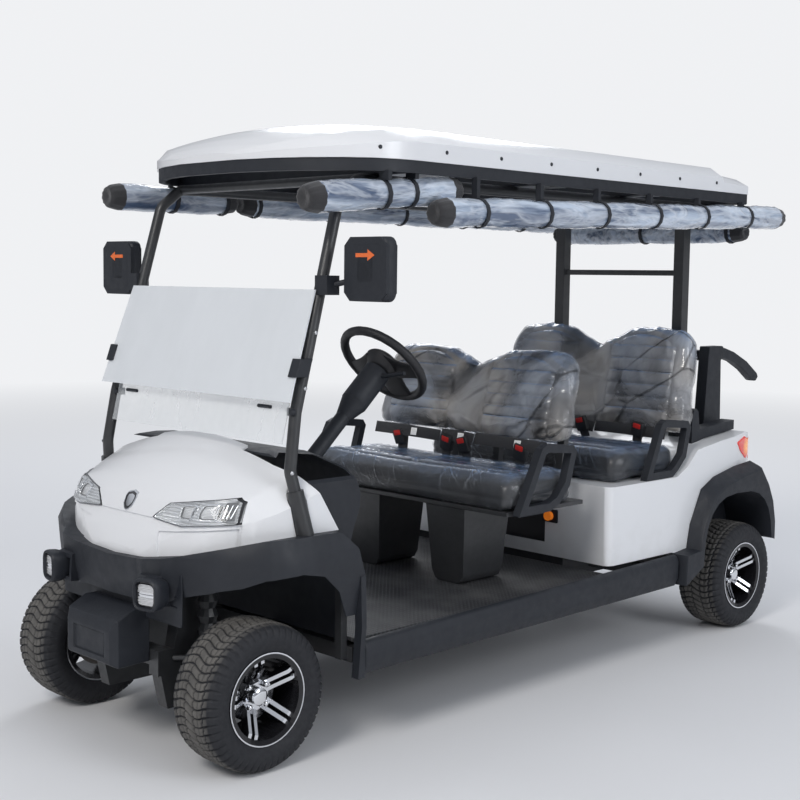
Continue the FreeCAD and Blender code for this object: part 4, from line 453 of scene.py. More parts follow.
rear_rim = chrome_and_black("rim_chrome_rear", FRONT_AXLE_Y + WHEELBASE)
for name in ("rim_rear_left", "rim_rear_right"):
    nodes[name].material_slots[0].material = rear_rim


# CAD pieces that stay: their edges are rounded as the real ones are.

def shade_smooth(mesh):
    mesh.polygons.foreach_set("use_smooth", [True] * len(mesh.polygons))


def welded(node):
    """The node's piece, shaded smooth, with its faces joined at their shared points."""
    piece = nodes[node]
    shade_smooth(piece.data)
    piece.modifiers.new("weld", "WELD").merge_threshold = 0.00005
    return piece


def keep_edges(piece, angle):
    """Keep the edges sharper than the angle, in degrees."""
    split = piece.modifiers.new("keep_edges", "EDGE_SPLIT")
    split.use_edge_angle = True
    split.use_edge_sharp = False
    split.split_angle = math.radians(angle)


EDGE_WIDTHS = {
    "chassis_frame": 0.003, "rear_springs": 0.002, "rear_axle": 0.003, "floor_pan": 0.003, "sills": 0.006,
    "front_moulding": 0.006, "lower_bumper": 0.024, "windshield_clips": 0.004, "roof_rails": 0.003,
    "rear_roof_posts": 0.005, "cowl": 0.008, "steering_column": 0.003, "pedals": 0.003,
    "front_seat_frame": 0.014, "armrests": 0.016, "seat_belts": 0.005, "rear_body": 0.006,
    "rear_flares": 0.008, "bag_well": 0.004, "bag_rack": 0.010, "mirrors": 0.018,
}
for name, width in EDGE_WIDTHS.items():
    piece = welded(name)
    bevel = piece.modifiers.new("round_edges", "BEVEL")
    bevel.width = width
    bevel.segments = 4 if width > 0.012 else 2
    bevel.limit_method = "ANGLE"
    bevel.angle_limit = math.radians(35.0)
    bevel.use_clamp_overlap = True
    piece.modifiers.new("normals", "WEIGHTED_NORMAL").keep_sharp = False
for name in ("nose_panel", "roof_shell", "windshield_posts"):
    piece = welded(name)
    keep_edges(piece, 32.0)
    piece.modifiers.new("normals", "WEIGHTED_NORMAL")


def new_piece(name, mesh, body, slot, *replaced):
    """A smooth object that rides on a body and stands for the named nodes."""
    shade_smooth(mesh)
    piece = bpy.data.objects.new(name, mesh)
    scene.collection.objects.link(piece)
    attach(piece, body)
    if replaced:
        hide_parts(*replaced)
    return piece


# Tyres

TYRE_HALF_WIDTH = 0.1025
TYRE_STEPS_ROUND = 624
TREAD_WAVES = 52
TREAD_REACH = TYRE_RADIUS - 0.036
WHEELS = (("front_left", 0.4555, 0.0), ("front_right", -0.4555, 0.0),
          ("rear_left", 0.5245, WHEELBASE), ("rear_right", -0.5245, WHEELBASE))


def tyre_profile():
    """Distance along the axle and radius, from bead to bead. The crown has finer steps than the walls."""
    knots = ((0.0, TYRE_RADIUS), (0.055, TYRE_RADIUS - 0.001), (0.078, TYRE_RADIUS - 0.005),
             (0.092, TYRE_RADIUS - 0.014), (0.099, TYRE_RADIUS - 0.030),
             (TYRE_HALF_WIDTH, TYRE_RADIUS - 0.048), (0.0995, 0.166), (0.092, 0.150), (0.087, 0.1435),
             (0.0845, 0.1300))
    half = []
    for (a0, r0), (a1, r1) in zip(knots, knots[1:]):
        fine = 0.0034 if r1 > TYRE_RADIUS - 0.02 else 0.009
        steps = max(1, round(math.hypot(a1 - a0, r1 - r0) / fine))
        half += [(a0 + (a1 - a0) * k / steps, r0 + (r1 - r0) * k / steps) for k in range(steps)]
    half.append(knots[-1])
    return [(-a, r) for a, r in reversed(half[1:])] + half


def tread_depth(turn, axial, radial):
    """How far the surface is cut below the tyre's outline, from 0 on a block to 1 in a groove."""
    side = axial / TYRE_HALF_WIDTH
    reach = abs(side)
    if radial < TREAD_REACH:
        return 0.0
    blocks = turn * TREAD_WAVES / math.tau
    # S-shaped cuts across the crown, which lean into the shoulders
    bend = 0.34 * math.sin(side * math.pi * 1.6) + 0.5 * max(0.0, reach - 0.6) * (1 if side > 0 else -1)
    across = abs((blocks + bend) % 1.0 - 0.5)
    wide = 0.065 if reach < 0.6 else 0.085
    depth = 1.0 - max(0.0, (across - wide) / 0.06)
    # Two fine lines round the tyre on each side, waved with the blocks
    for line, swing, width in ((0.20, 0.030, 0.012), (0.60, 0.022, 0.016)):
        distance = abs(reach - line - swing * math.sin(blocks * math.tau))
        depth = max(depth, 1.0 - max(0.0, (distance - width) / 0.022))
    # Sipes along the middle of the crown blocks
    sipe = abs(reach - 0.40)
    if sipe < 0.05 and across > 0.17:
        depth = max(depth, 0.5 * (1.0 - sipe / 0.05))
    if reach > 0.62:
        depth *= min(1.0, (radial - TREAD_REACH) / 0.010)
    return max(0.0, min(1.0, depth))


def tyre_mesh():
    """Rings of vertices round the axle, which is along X."""
    profile = tyre_profile()
    vertices = []
    for step in range(TYRE_STEPS_ROUND):
        turn = math.tau * step / TYRE_STEPS_ROUND
        for axial, radial in profile:
            cut = TREAD_DEPTH * tread_depth(turn, axial, radial)
            inward = min(1.0, max(0.0, (TYRE_HALF_WIDTH - abs(axial)) / 0.03))
            r = radial - cut * max(0.35, inward)
            a = axial - math.copysign(cut * (1 - inward) * 0.5, axial)
            vertices.append((a, r * math.sin(turn), r * math.cos(turn)))
    width = len(profile)
    faces = []
    for step in range(TYRE_STEPS_ROUND):
        here, there = step * width, (step + 1) % TYRE_STEPS_ROUND * width
        faces += [(here + k, there + k, there + k + 1, here + k + 1) for k in range(width - 1)]
    mesh = bpy.data.meshes.new("tyre")
    mesh.from_pydata(vertices, [], faces)
    mesh.materials.append(finishes["tyre"])
    shade_smooth(mesh)
    return mesh


tyre = tyre_mesh()
for corner, x, station in WHEELS:
    piece = bpy.data.objects.new("tread_" + corner, tyre)
    scene.collection.objects.link(piece)
    piece.location = at(x, station, TYRE_RADIUS)
    piece.rotation_euler = (0, 0, 0 if x > 0 else math.pi)
    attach(piece, "wheel_" + corner)
    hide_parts("tyre_" + corner)


# Soft goods: each pad is swollen by a cloth simulation, then sewn, and wrapped in clear film.

PAD_VOXEL = 0.014
SWELL_FRAMES = 20
SWELL_PRESSURE = 4.0
SWELL_CAP = 0.012
# Half width, front station, depth, underside and height
FRONT_CUSHION = (0.552, 1.084, 0.430, 0.668, 0.128)
REAR_CUSHION = (0.522, 1.766, 0.470, 0.7003, 0.128)
# Station and height of the foot, then of the top, and the dip between the humps
FRONT_BACK = (1.448, 0.872, 1.532, 1.240, 0.066)
REAR_BACK = (2.262, 0.848, 2.344, 1.312, 0.084)
BACK_HALF = 0.500
BACK_THICKNESS = 0.092
# Each backrest has two sewn panels
PANEL_CENTRE = 0.26
PANEL_HALF = 0.165
SEAM_DEPTH = 0.007
SEAM_WIDTH = 0.006
# How far the film stands off a pad where it is loose, and where it lies close
FILM_GAP = 0.0035
FILM_CLOSE = 0.002


def ring_form(name, rings):
    """A closed mesh over rings that have as many points each."""
    count = len(rings[0])
    vertices = [point for ring in rings for point in ring]
    faces = []
    for row in range(len(rings) - 1):
        near, far = row * count, (row + 1) * count
        for k in range(count):
            faces.append((near + k, near + (k + 1) % count, far + (k + 1) % count, far + k))
    faces.append(tuple(reversed(range(count))))
    faces.append(tuple(range(len(vertices) - count, len(vertices))))
    mesh = bpy.data.meshes.new(name)
    mesh.from_pydata(vertices, [], faces)
    return mesh


def end_draw(x, half, radius):
    """How far a section shrinks near the pad's ends."""
    over = (abs(x) - (half - radius)) / radius
    return radius * (1 - math.sqrt(max(0.0, 1 - over * over))) if over > 0 else 0.0


def middle_of(outline):
    return sum((Vector(point) for point in outline), Vector((0, 0))) / len(outline)


def shrunk(section, inset):
    """A closed section drawn in towards its middle."""
    middle = middle_of(section)
    rays = [Vector(point) - middle for point in section]
    return [middle + ray * max(0.05, 1 - inset / ray.length) for ray in rays]


def cushion_rings(half, front, depth, low, height):
    """Sections across a seat cushion: flat below, crowned above, rolled over at the front."""
    line = ((0.014, 0), (depth * 0.5, 0), (depth - 0.008, 0), (depth, 0.03), (depth, height - 0.034),
            (depth - 0.024, height - 0.014), (depth * 0.62, height - 0.010), (depth * 0.36, height - 0.004),
            (0.10, height), (0.045, height - 0.008), (0.014, height - 0.032), (0.003, height - 0.068),
            (0.004, 0.022))
    rings = []
    steps = 44
    for step in range(steps + 1):
        x = -half + 2 * half * step / steps
        section = shrunk(line, 0.010 + end_draw(x, half, 0.05))
        rings.append([at(x, front + point.x, low + max(point.y, 0.0)) for point in section])
    return rings


def back_top(x, top, dip):
    """Height of the two humps of a backrest."""
    share = abs(x) / BACK_HALF
    knots = ((0.0, top - dip), (0.16, top - dip * 0.55), (0.36, top - 0.004), (0.62, top),
             (0.86, top - 0.014), (0.97, top - 0.052), (1.0, top - 0.120))
    for (s0, z0), (s1, z1) in zip(knots, knots[1:]):
        if share <= s1:
            blend = (share - s0) / (s1 - s0)
            smooth = blend * blend * (3 - 2 * blend)
            return z0 + (z1 - z0) * (0.5 * blend + 0.5 * smooth)
    return knots[-1][1]


def back_rings(foot_y, foot_z, top_y, top_z, dip):
    """Sections across a backrest that leans back."""
    slope = (top_y - foot_y) / (top_z - foot_z)
    thick = BACK_THICKNESS
    rings = []
    steps = 56
    for step in range(steps + 1):
        x = -BACK_HALF + 2 * BACK_HALF * step / steps
        high = back_top(x, top_z, dip)
        half_way = (foot_z + high) / 2
        line = ((0.016, foot_z), (0.0, foot_z + 0.03), (-0.004, half_way), (0.0, high - 0.05),
                (0.014, high - 0.014), (0.038, high), (thick - 0.034, high), (thick - 0.006, high - 0.02),
                (thick, high - 0.06), (thick, half_way), (thick, foot_z + 0.03), (thick - 0.014, foot_z))
        section = shrunk(line, 0.008 + 0.8 * end_draw(x, BACK_HALF, 0.045))
        rings.append([at(x, foot_y + (point.y - foot_z) * slope + point.x, point.y) for point in section])
    return rings


def freeze(pad):
    """Give the pad the mesh that its modifiers make."""
    made = bpy.data.meshes.new_from_object(pad.evaluated_get(bpy.context.evaluated_depsgraph_get()))
    pad.modifiers.clear()
    pad.data = made


def swell(meshes):
    """Blow the closed pads up a little with cloth pressure. No point moves further than the cap."""
    pads = []
    for mesh in meshes:
        pad = bpy.data.objects.new(mesh.name, mesh)
        scene.collection.objects.link(pad)
        remesh = pad.modifiers.new("even", "REMESH")
        remesh.mode = "VOXEL"
        remesh.voxel_size = PAD_VOXEL
        bpy.context.view_layer.update()
        freeze(pad)
        pads.append(pad)
    starts = [[vertex.co.copy() for vertex in pad.data.vertices] for pad in pads]
    for pad in pads:
        cloth = pad.modifiers.new("cloth", "CLOTH")
        for key, value in (("quality", 4), ("mass", 0.4), ("tension_stiffness", 18),
                           ("compression_stiffness", 18), ("bending_stiffness", 1.5),
                           ("use_pressure", True), ("uniform_pressure_force", SWELL_PRESSURE)):
            setattr(cloth.settings, key, value)
        cloth.settings.effector_weights.gravity = 0
        cloth.point_cache.frame_start = 1
        cloth.point_cache.frame_end = SWELL_FRAMES
    for frame_number in range(1, SWELL_FRAMES + 1):
        scene.frame_set(frame_number)
    for pad in pads:
        freeze(pad)
    scene.frame_set(1)
    finished = []
    for pad, start in zip(pads, starts):
        for vertex, origin in zip(pad.data.vertices, start):
            moved = vertex.co - origin
            if moved.length > SWELL_CAP:
                vertex.co = origin + moved.normalized() * SWELL_CAP
        pad.modifiers.new("finer", "SUBSURF").levels = 1
        freeze(pad)
        finished.append(pad.data)
        bpy.data.objects.remove(pad)
    return finished


def with_normals(mesh):
    """Each vertex with its normal as it is before any of them moves."""
    return list(zip(mesh.vertices, [vertex.normal.copy() for vertex in mesh.vertices]))


def groove(distance, width):
    """1 in the middle of a seam, and near 0 at twice its width."""
    return math.exp(-(distance / width) ** 2)


def sew_back(mesh, foot_y, foot_z, top_y, top_z, channels):
    """Press the seams of two inner panels, with their sewn channels, into the front face of a backrest."""
    slope = (top_y - foot_y) / (top_z - foot_z)
    for vertex, normal in with_normals(mesh):
        z = vertex.co.z
        if normal.y > -0.35:
            plane = foot_y + FRONT_AXLE_Y + (z - foot_z) * slope
            vertex.co -= normal * 0.003 * groove(vertex.co.y - (plane + 0.026), 0.004)
            continue
        across = abs(abs(vertex.co.x) - PANEL_CENTRE)
        top = channels[-1] - 0.05 * (across / PANEL_HALF) ** 2
        depth = 0.0
        if z < top + 0.01:
            depth = SEAM_DEPTH * groove(across - PANEL_HALF, SEAM_WIDTH)
        if across < PANEL_HALF + 0.004:
            depth = max(depth, SEAM_DEPTH * groove(z - top, SEAM_WIDTH))
        if across < PANEL_HALF and z < top + 0.004:
            depth = max(depth, *(0.006 * groove(z - level, SEAM_WIDTH) for level in channels[:-1]))
            depth -= 0.003 * min(1.0, min(abs(z - level) for level in channels) / 0.02)
        vertex.co -= normal * depth


def sew_cushion(mesh, half, front, _, low, height):
    """Press the seam of the front roll, the side seams and shallow channels into a cushion's top."""
    side_seam = half - 0.07
    roll_seam = 0.085
    for vertex, normal in with_normals(mesh):
        y = vertex.co.y - FRONT_AXLE_Y - front
        x, z = abs(vertex.co.x), vertex.co.z
        vertex.co.z = max(vertex.co.z, low + 0.0006)
        if normal.z < 0.2:
            if z > low + 0.01:
                vertex.co -= normal * 0.004 * groove(z - (low + height * 0.34), 0.005)
            continue
        pressed = 0.008 * groove(y - roll_seam, 0.007) if x < side_seam else 0.0
        if y > roll_seam:
            pressed = max(pressed, 0.007 * groove(x - side_seam, 0.007), 0.006 * groove(x - 0.012, 0.006))
            if x < side_seam:
                pressed = max(pressed, *(0.0035 * groove(y - level, 0.007) for level in (0.18, 0.275, 0.37)))
        vertex.co -= normal * pressed


def crease(point, frequency, seed):
    """1 along thin wandering lines, such as the ridges of creased film, and 0 away from them."""
    spot = Vector((point.x * frequency[0] + seed, point.y * frequency[1], point.z * frequency[2]))
    return max(0.0, 1 - abs(noise.noise(spot)) * 7)


def wrapped(name, mesh, film_material, node, streaks, loose, limit):
    """The sewn pad with its creased film over it, as one piece. The film lies closer past the limit."""
    film = mesh.copy()
    for vertex, normal in with_normals(film):
        place = vertex.co
        ridge = max(crease(place, streaks[0], 3.1), 0.7 * crease(place, streaks[1], 9.4))
        slack = 0.5 + 0.5 * noise.noise(place * 5.0)
        lift = FILM_GAP + loose * 0.5 * slack + loose * ridge
        vertex.co = place + normal * (FILM_CLOSE if abs(place.x) > limit else lift)
    joined = bmesh.new()
    joined.from_mesh(mesh)
    pad_faces = len(joined.faces)
    joined.from_mesh(film)
    for number, face in enumerate(joined.faces):
        face.material_index = 1 if number >= pad_faces else 0
    whole = bpy.data.meshes.new(name)
    joined.to_mesh(whole)
    joined.free()
    whole.materials.append(finishes["seat_black"])
    whole.materials.append(film_material)
    new_piece(name, whole, "chassis", "seat_black", node)


def add_seats():
    # Two copies of one film: on the backs it carries broad painted reflections with darker creases, on the
    # cushions bright painted crease highlights and a bluish painted sky reflection on top.
    pale = clear_wrap("film_pale_painted_reflection", 0.60, -0.36, (0.56, 0.52, 0.47), (0.46, 0.50, 0.57),
                      (0.42, 0.9, 1.1), 0.12, 0.0)
    dark = clear_wrap("film_dark_painted_highlights", 0.06, 0.42, (0.46, 0.48, 0.51), (0.38, 0.48, 0.64),
                      (2.2, 0.7, 0.45), 0.9, 0.34)
    forms = [ring_form("front_cushion", cushion_rings(*FRONT_CUSHION)),
             ring_form("rear_cushion", cushion_rings(*REAR_CUSHION)),
             ring_form("front_backs", back_rings(*FRONT_BACK)),
             ring_form("rear_backs", back_rings(*REAR_BACK))]
    front_cushion, rear_cushion, front_back, rear_back = swell(forms)
    sew_cushion(front_cushion, *FRONT_CUSHION)
    sew_cushion(rear_cushion, *REAR_CUSHION)
    sew_back(front_back, *FRONT_BACK[:4], (0.968, 1.010, 1.057, 1.104, 1.152, 1.205))
    sew_back(rear_back, *REAR_BACK[:4], (0.955, 1.005, 1.060, 1.115, 1.170, 1.225, 1.272))
    cushion_streaks = ((22.0, 3.0, 5.0), (34.0, 9.0, 9.0))
    back_streaks = ((3.6, 4.0, 5.5), (8.0, 6.0, 4.5))
    for row in (("front_cushion", front_cushion, dark, "front_seat_cushion", cushion_streaks, 0.0025, 0.533),
                ("rear_cushion", rear_cushion, dark, "rear_seat_cushion", cushion_streaks, 0.0025, 0.503),
                ("front_backs", front_back, pale, "front_seat_backs", back_streaks, 0.0045, 0.7),
                ("rear_backs", rear_back, pale, "rear_seat_backs", back_streaks, 0.0055, 0.7)):
        wrapped(*row)


add_seats()


# Rolled side curtains: clear film in many turns, pinched by the straps, with gathered black ends.

ROLL_RADIUS = 0.046
ROLL_CAP = 0.055
STRAP_PITCH = 0.330
# Ends of each roll, and how far along it the first and last strap lie, as in the source
ROLLS = (
    (at(0.546, 0.128, 1.735), at(0.546, 0.800, 1.795), 0.320, 0.440),
    (at(0.614, 0.620, 1.712), at(0.614, 2.800, 1.782), 0.214, 1.884),
    (at(-0.580, 0.168, 1.780), at(-0.580, 0.740, 1.782), 0.280, 0.512),
    (at(-0.604, 0.790, 1.780), at(-0.604, 2.800, 1.782), 0.070, 1.714),
    (at(-0.520, 2.690, 1.722), at(0.520, 2.690, 1.722), 0.070, 0.970),
)


def roll_rings(start, end, first, last, seed):
    length = (end - start).length
    along = (end - start).normalized()
    side = along.cross(Vector((0, 0, 1))).normalized()
    up = side.cross(along)
    count = max(2, int((last - first) // STRAP_PITCH) + 1)
    straps = [first + (last - first) * k / (count - 1) for k in range(count)]
    around, steps = 36, round(length / 0.009)
    rings = []
    for step in range(steps + 1):
        distance = length * step / steps
        pinch = min(abs(distance - strap) for strap in straps)
        radius = ROLL_RADIUS - 0.0022 + 0.0040 * min(1.0, pinch / 0.09) ** 2
        from_end = min(distance, length - distance)
        if from_end < ROLL_CAP:
            radius *= 0.66 + 0.34 * (from_end / ROLL_CAP) ** 0.5
        centre = start + along * distance
        centre += up * 0.003 * noise.noise(Vector((distance * 2.3, seed, 0)))
        ring = []
        for k, (c, s) in enumerate(circle(around)):
            spot = Vector((c * 2.2, s * 2.2, distance * 5.0 + seed))
            fold = noise.noise(spot)
            sharp = max(0.0, 1 - abs(noise.noise(spot * 1.9 + Vector((5, 0, 0)))) * 5)
            wander = 0.05 * noise.noise(Vector((distance * 3, seed, 7)))
            flap = 0.0024 * ((k / around + 0.3 + wander) % 1.0)
            gathers = 0.0
            if from_end < ROLL_CAP:
                gathers = 0.0016 * math.sin(math.tau * k / around * 11 + seed)
                fold, sharp, flap = fold * 0.4, sharp * 0.3, flap * 0.3
            wave = 0.0022 * fold + 0.0022 * sharp * min(1.0, pinch / 0.03)
            ring.append(centre + (side * c + up * s) * (radius + wave + flap + gathers))
        rings.append(ring)
    # Each end closes inwards with a shallow dish.
    for place, edge in ((0, start), (-1, end)):
        inward = along if place == 0 else -along
        for share, depth in ((0.8, 0.0), (0.45, 0.005), (0.1, 0.008)):
            dish = [edge + (point - edge) * share + inward * depth for point in rings[place]]
            rings.insert(0 if place == 0 else len(rings), dish)
    return rings


def add_rolls():
    """All five rolls as one piece with two materials."""
    whole = bmesh.new()
    for number, (start, end, first, last) in enumerate(ROLLS):
        mesh = ring_form("roll", roll_rings(start, end, first, last, 4.7 * number))
        before = len(whole.faces)
        whole.from_mesh(mesh)
        whole.faces.ensure_lookup_table()
        along = (end - start).normalized()
        length = (end - start).length
        for face in whole.faces[before:]:
            distance = (face.calc_center_median() - start).dot(along)
            face.material_index = 1 if distance < ROLL_CAP or distance > length - ROLL_CAP else 0
        bpy.data.meshes.remove(mesh)
    bmesh.ops.recalc_face_normals(whole, faces=whole.faces)
    mesh = bpy.data.meshes.new("side_curtains")
    whole.to_mesh(mesh)
    whole.free()
    mesh.materials.append(finishes["curtain_film"])
    mesh.materials.append(webbing("curtain_end", (0.014, 0.014, 0.016)))
    new_piece("side_curtains", mesh, "chassis", "curtain_film", "curtain_rolls")


add_rolls()


# Small parts are placed on the CAD's own faces, by a ray from outside or through a pixel of the photograph.

def face_tree(*names):
    """A search tree over the faces of CAD nodes."""
    vertices, faces = [], []
    for name in names:
        base = len(vertices)
        vertices += [vertex.co.copy() for vertex in nodes[name].data.vertices]
        faces += [tuple(base + k for k in polygon.vertices) for polygon in nodes[name].data.polygons]
    return BVHTree.FromPolygons(vertices, faces)


def through_pixel(px, py, tree):
    """Where the photograph's ray through a pixel meets the faces."""
    right, up, forward = camera_axes()
    ray = forward * CAMERA_FOCAL_PIXELS + right * (px - PHOTO_PIXELS / 2) - up * (py - PHOTO_PIXELS / 2)
    return tree.ray_cast(CAMERA_PLACE, ray.normalized())[0]


class Build:
    """Collects faces with a material number each, then makes one piece of them."""

    def __init__(self):
        self.mesh = bmesh.new()

    def rings(self, rings, numbers=0, closed=True, ends=(False, False)):
        """Bands between rings of points; numbers gives one material for all, or one for each band."""
        rows = [[self.mesh.verts.new(point) for point in ring] for ring in rings]
        count = len(rows[0])
        if isinstance(numbers, int):
            numbers = [numbers] * len(rows)
        for band, (near, far) in enumerate(zip(rows, rows[1:])):
            for k in range(count if closed else count - 1):
                face = self.mesh.faces.new((near[k], near[(k + 1) % count], far[(k + 1) % count], far[k]))
                face.material_index = numbers[band]
        for wanted, place in zip(ends, (0, -1)):
            if wanted:
                self.mesh.faces.new(rows[place]).material_index = numbers[place]

    def slab(self, outline, placed, low, high, edge, number=0):
        """A plate with rounded rims: outline points pass through placed(u, v, height)."""
        middle = middle_of(outline)

        def ring(inset, height):
            out = []
            for u, v in outline:
                away = Vector((u, v)) - middle
                away *= max(0.02, 1 - inset / away.length)
                out.append(placed(middle.x + away.x, middle.y + away.y, height))
            return out
        levels = ((edge, low), (edge * 0.3, low + edge * 0.3), (0, low + edge), (0, high - edge),
                  (edge * 0.3, high - edge * 0.3), (edge, high))
        self.rings([ring(*level) for level in levels], number, ends=(True, True))

    def tube(self, points, radius, number=0, around=12):
        """A round bar through the points."""
        rings = []
        for index, point in enumerate(points):
            ahead = points[min(index + 1, len(points) - 1)] - points[max(index - 1, 0)]
            ahead.normalize()
            side = ahead.cross(Vector((0, 0, 1)))
            side = side.normalized() if side.length > 0.05 else Vector((1, 0, 0))
            up = side.cross(ahead)
            rings.append([point + (side * c + up * s) * radius for c, s in circle(around)])
        self.rings(rings, number, ends=(True, True))

    def dome(self, place, normal, radius, height, sides=14):
        """A screw head or cap that stands on a face."""
        normal = normal.normalized()
        side = normal.orthogonal().normalized()
        up = normal.cross(side)
        levels = ((1.0, -0.001), (1.0, height * 0.55), (0.86, height * 0.85), (0.5, height), (0.12, height))
        self.rings([[place + normal * lift + (side * c + up * s) * radius * share for c, s in circle(sides)]
                    for share, lift in levels], ends=(False, True))

    def piece(self, name, materials, body="chassis", slot="moulded_black", replaced=()):
        bmesh.ops.recalc_face_normals(self.mesh, faces=self.mesh.faces)
        mesh = bpy.data.meshes.new(name)
        self.mesh.to_mesh(mesh)
        self.mesh.free()
        for material in materials:
            mesh.materials.append(material)
        keep_edges(new_piece(name, mesh, body, slot, *replaced), 40.0)


def finer(outline, step):
    """The outline with points every step along its edges."""
    points = []
    for (u0, v0), (u1, v1) in zip(outline, outline[1:] + outline[:1]):
        count = max(1, round(math.hypot(u1 - u0, v1 - v0) / step))
        points += [(u0 + (u1 - u0) * k / count, v0 + (v1 - v0) * k / count) for k in range(count)]
    return points


def rounded(outline, radius, arc=5):
    """The outline with each corner as an arc."""
    points = []
    for index, corner in enumerate(outline):
        here = Vector(corner)
        into = (here - Vector(outline[index - 1])).normalized()
        out = (Vector(outline[(index + 1) % len(outline)]) - here).normalized()
        reach = radius * math.tan(into.angle(out) / 2)
        start, end = here - into * reach, here + out * reach
        for k in range(arc + 1):
            share = k / arc
            points.append(tuple(start.lerp(here, share).lerp(here.lerp(end, share), share)))
    return points


def box_outline(half_u, half_v, radius, arc=5, middle_v=0.0):
    """A rectangle with rounded corners."""
    low, high = middle_v - half_v, middle_v + half_v
    return rounded([(-half_u, low), (half_u, low), (half_u, high), (-half_u, high)], radius, arc)


def superellipse(half_u, half_v, power, count):
    """An oval that gets squarer as the power grows."""
    def bent(value):
        return math.copysign(abs(value) ** (2 / power), value)
    return [(bent(c) * half_u, bent(s) * half_v) for c, s in circle(count)]


def on_front(tree, sign, outline, steps):
    """Rings laid on the front of the faces. Each step is a share of the outline's size and a depth."""
    middle = middle_of(outline)
    rings = []
    for share, depth in steps:
        ring = []
        for u, v in outline:
            spot = middle + (Vector((u, v)) - middle) * share
            hit = None
            while hit is None:
                place = Vector((sign * spot.x, spot.y))
                hit = tree.ray_cast(Vector((place.x, -4.0, place.y)), Vector((0, 1, 0)))[0]
                spot = middle + (spot - middle) * 0.99
            ring.append(Vector((place.x, hit.y + depth, place.y)))
        rings.append(ring)
    return rings


# Lamps and badge

HEADLAMP = [(0.140, 0.748), (0.200, 0.798), (0.413, 0.829), (0.436, 0.818), (0.455, 0.754), (0.289, 0.738)]
HEADLAMP_CELLS = ([(0.262, 0.756), (0.257, 0.797), (0.312, 0.804), (0.317, 0.757)],
                  [(0.340, 0.759), (0.335, 0.807), (0.388, 0.812), (0.393, 0.761)])
HEADLAMP_END = [(0.404, 0.764), (0.400, 0.815), (0.421, 0.817), (0.437, 0.764)]
FOG_LAMP = (0.277, -0.256, 0.542)
FOG_LENS_HALF = 0.0345
FOG_POD_HALF = 0.051
FOG_YAW = math.radians(12)
AMBER_BACK = 1.700 + FRONT_AXLE_Y - 0.0003
FLANK_LENS = [(2.621, 0.806), (2.700, 0.826), (2.742, 0.814), (2.742, 0.742), (2.720, 0.726), (2.655, 0.768)]


def headlamp(faces, sign):
    """Black rim, silver bowl, two cells, a dark outer end with upright ribs, and a clear cover."""
    made = Build()
    outline = finer(rounded(HEADLAMP, 0.006, 3), 0.012)
    made.rings(on_front(faces, sign, outline, (
        (0.992, 0.020), (0.992, 0.0008), (0.955, 0.0008), (0.945, 0.003), (0.88, 0.012), (0.5, 0.015),
        (0.02, 0.015))), (0, 0, 1, 2, 2, 2))
    for corners in HEADLAMP_CELLS:
        made.rings(on_front(faces, sign, finer(rounded(corners, 0.008, 3), 0.01), (
            (1.0, 0.016), (1.0, 0.0055), (0.9, 0.0045), (0.80, 0.0065), (0.74, 0.012), (0.35, 0.0085),
            (0.02, 0.0075))), (1, 1, 2, 0, 3, 3))
    made.rings(on_front(faces, sign, finer(HEADLAMP_END, 0.01), (
        (1.0, 0.015), (1.0, 0.006), (0.9, 0.005), (0.02, 0.005))))
    for x in (0.409, 0.418, 0.427):
        made.tube([on_front(faces, sign, [spot], ((1.0, 0.004),))[0][0]
                   for spot in ((x, 0.771), (x - 0.003, 0.808))], 0.0016, 1, 8)
    made.rings(on_front(faces, sign, outline, (
        (0.95, 0.0004), (0.80, -0.0012), (0.4, -0.0020), (0.02, -0.0020))), 4)
    return made


def fog_lamp(sign):
    """A rounded pod with a dark ring, and ribbed glass with a chrome bar across its middle."""
    made = Build()
    x, station, z = FOG_LAMP
    turned = Matrix.Translation(at(sign * x, station, z)) @ Matrix.Rotation(sign * FOG_YAW, 4, "Z")
    pod = superellipse(FOG_POD_HALF, FOG_POD_HALF, 3.6, 48)
    rim = superellipse(FOG_LENS_HALF, FOG_LENS_HALF, 5.0, 48)
    levels = [(pod, *pair) for pair in ((0.80, 0.060), (0.97, 0.030), (1.0, 0.010), (0.985, 0.002),
                                        (0.94, -0.004), (0.87, -0.0065), (0.80, -0.004))]
    levels += [(rim, *pair) for pair in ((1.08, 0.006), (1.04, 0.006), (1.02, 0.002), (0.95, 0.001),
                                         (0.93, 0.006))]
    made.rings([[turned @ Vector((u * share, back, v * share)) for u, v in outline]
                for outline, share, back in levels], (5, 5, 5, 5, 5, 5, 5, 0, 0, 0, 0))
    rows, columns = 26, 12
    grid = []
    for row in range(rows + 1):
        v = -0.93 + 1.86 * row / rows
        rib = 0.0008 * math.sin(row * math.pi / 2)
        line = []
        for column in range(columns + 1):
            u = -0.93 + 1.86 * column / columns
            size = FOG_LENS_HALF / max(1.0, (abs(u) ** 5 + abs(v) ** 5) ** 0.2 / 0.94)
            bulge = 0.0035 * (1 - abs(v) ** 3) * (1 - abs(u) ** 3)
            line.append(turned @ Vector((u * size, 0.004 - bulge - rib, v * size)))
        grid.append(line)
    made.rings(grid, [1 if abs(row - rows / 2 + 0.5) < 2.6 else 3 for row in range(rows)], closed=False)
    return made


def add_front_lamps():
    faces = face_tree("front_lamps")
    materials = [lamp_black, chrome, bright_plastic("lamp_silver", (0.80, 0.82, 0.84), 700.0, 0.55),
                 bright_plastic("lamp_cell", (0.92, 0.93, 0.95), 1500.0, 0.2),
                 lens("lamp_cover", (0.92, 0.95, 0.97), 0.03, 0.16), moulded_black]
    for side, sign in SIDES:
        for name, made in (("headlamp_", headlamp(faces, sign)), ("fog_lamp_", fog_lamp(sign))):
            made.piece(name + side, materials, slot="lamp_clear", replaced=("front_lamps",))


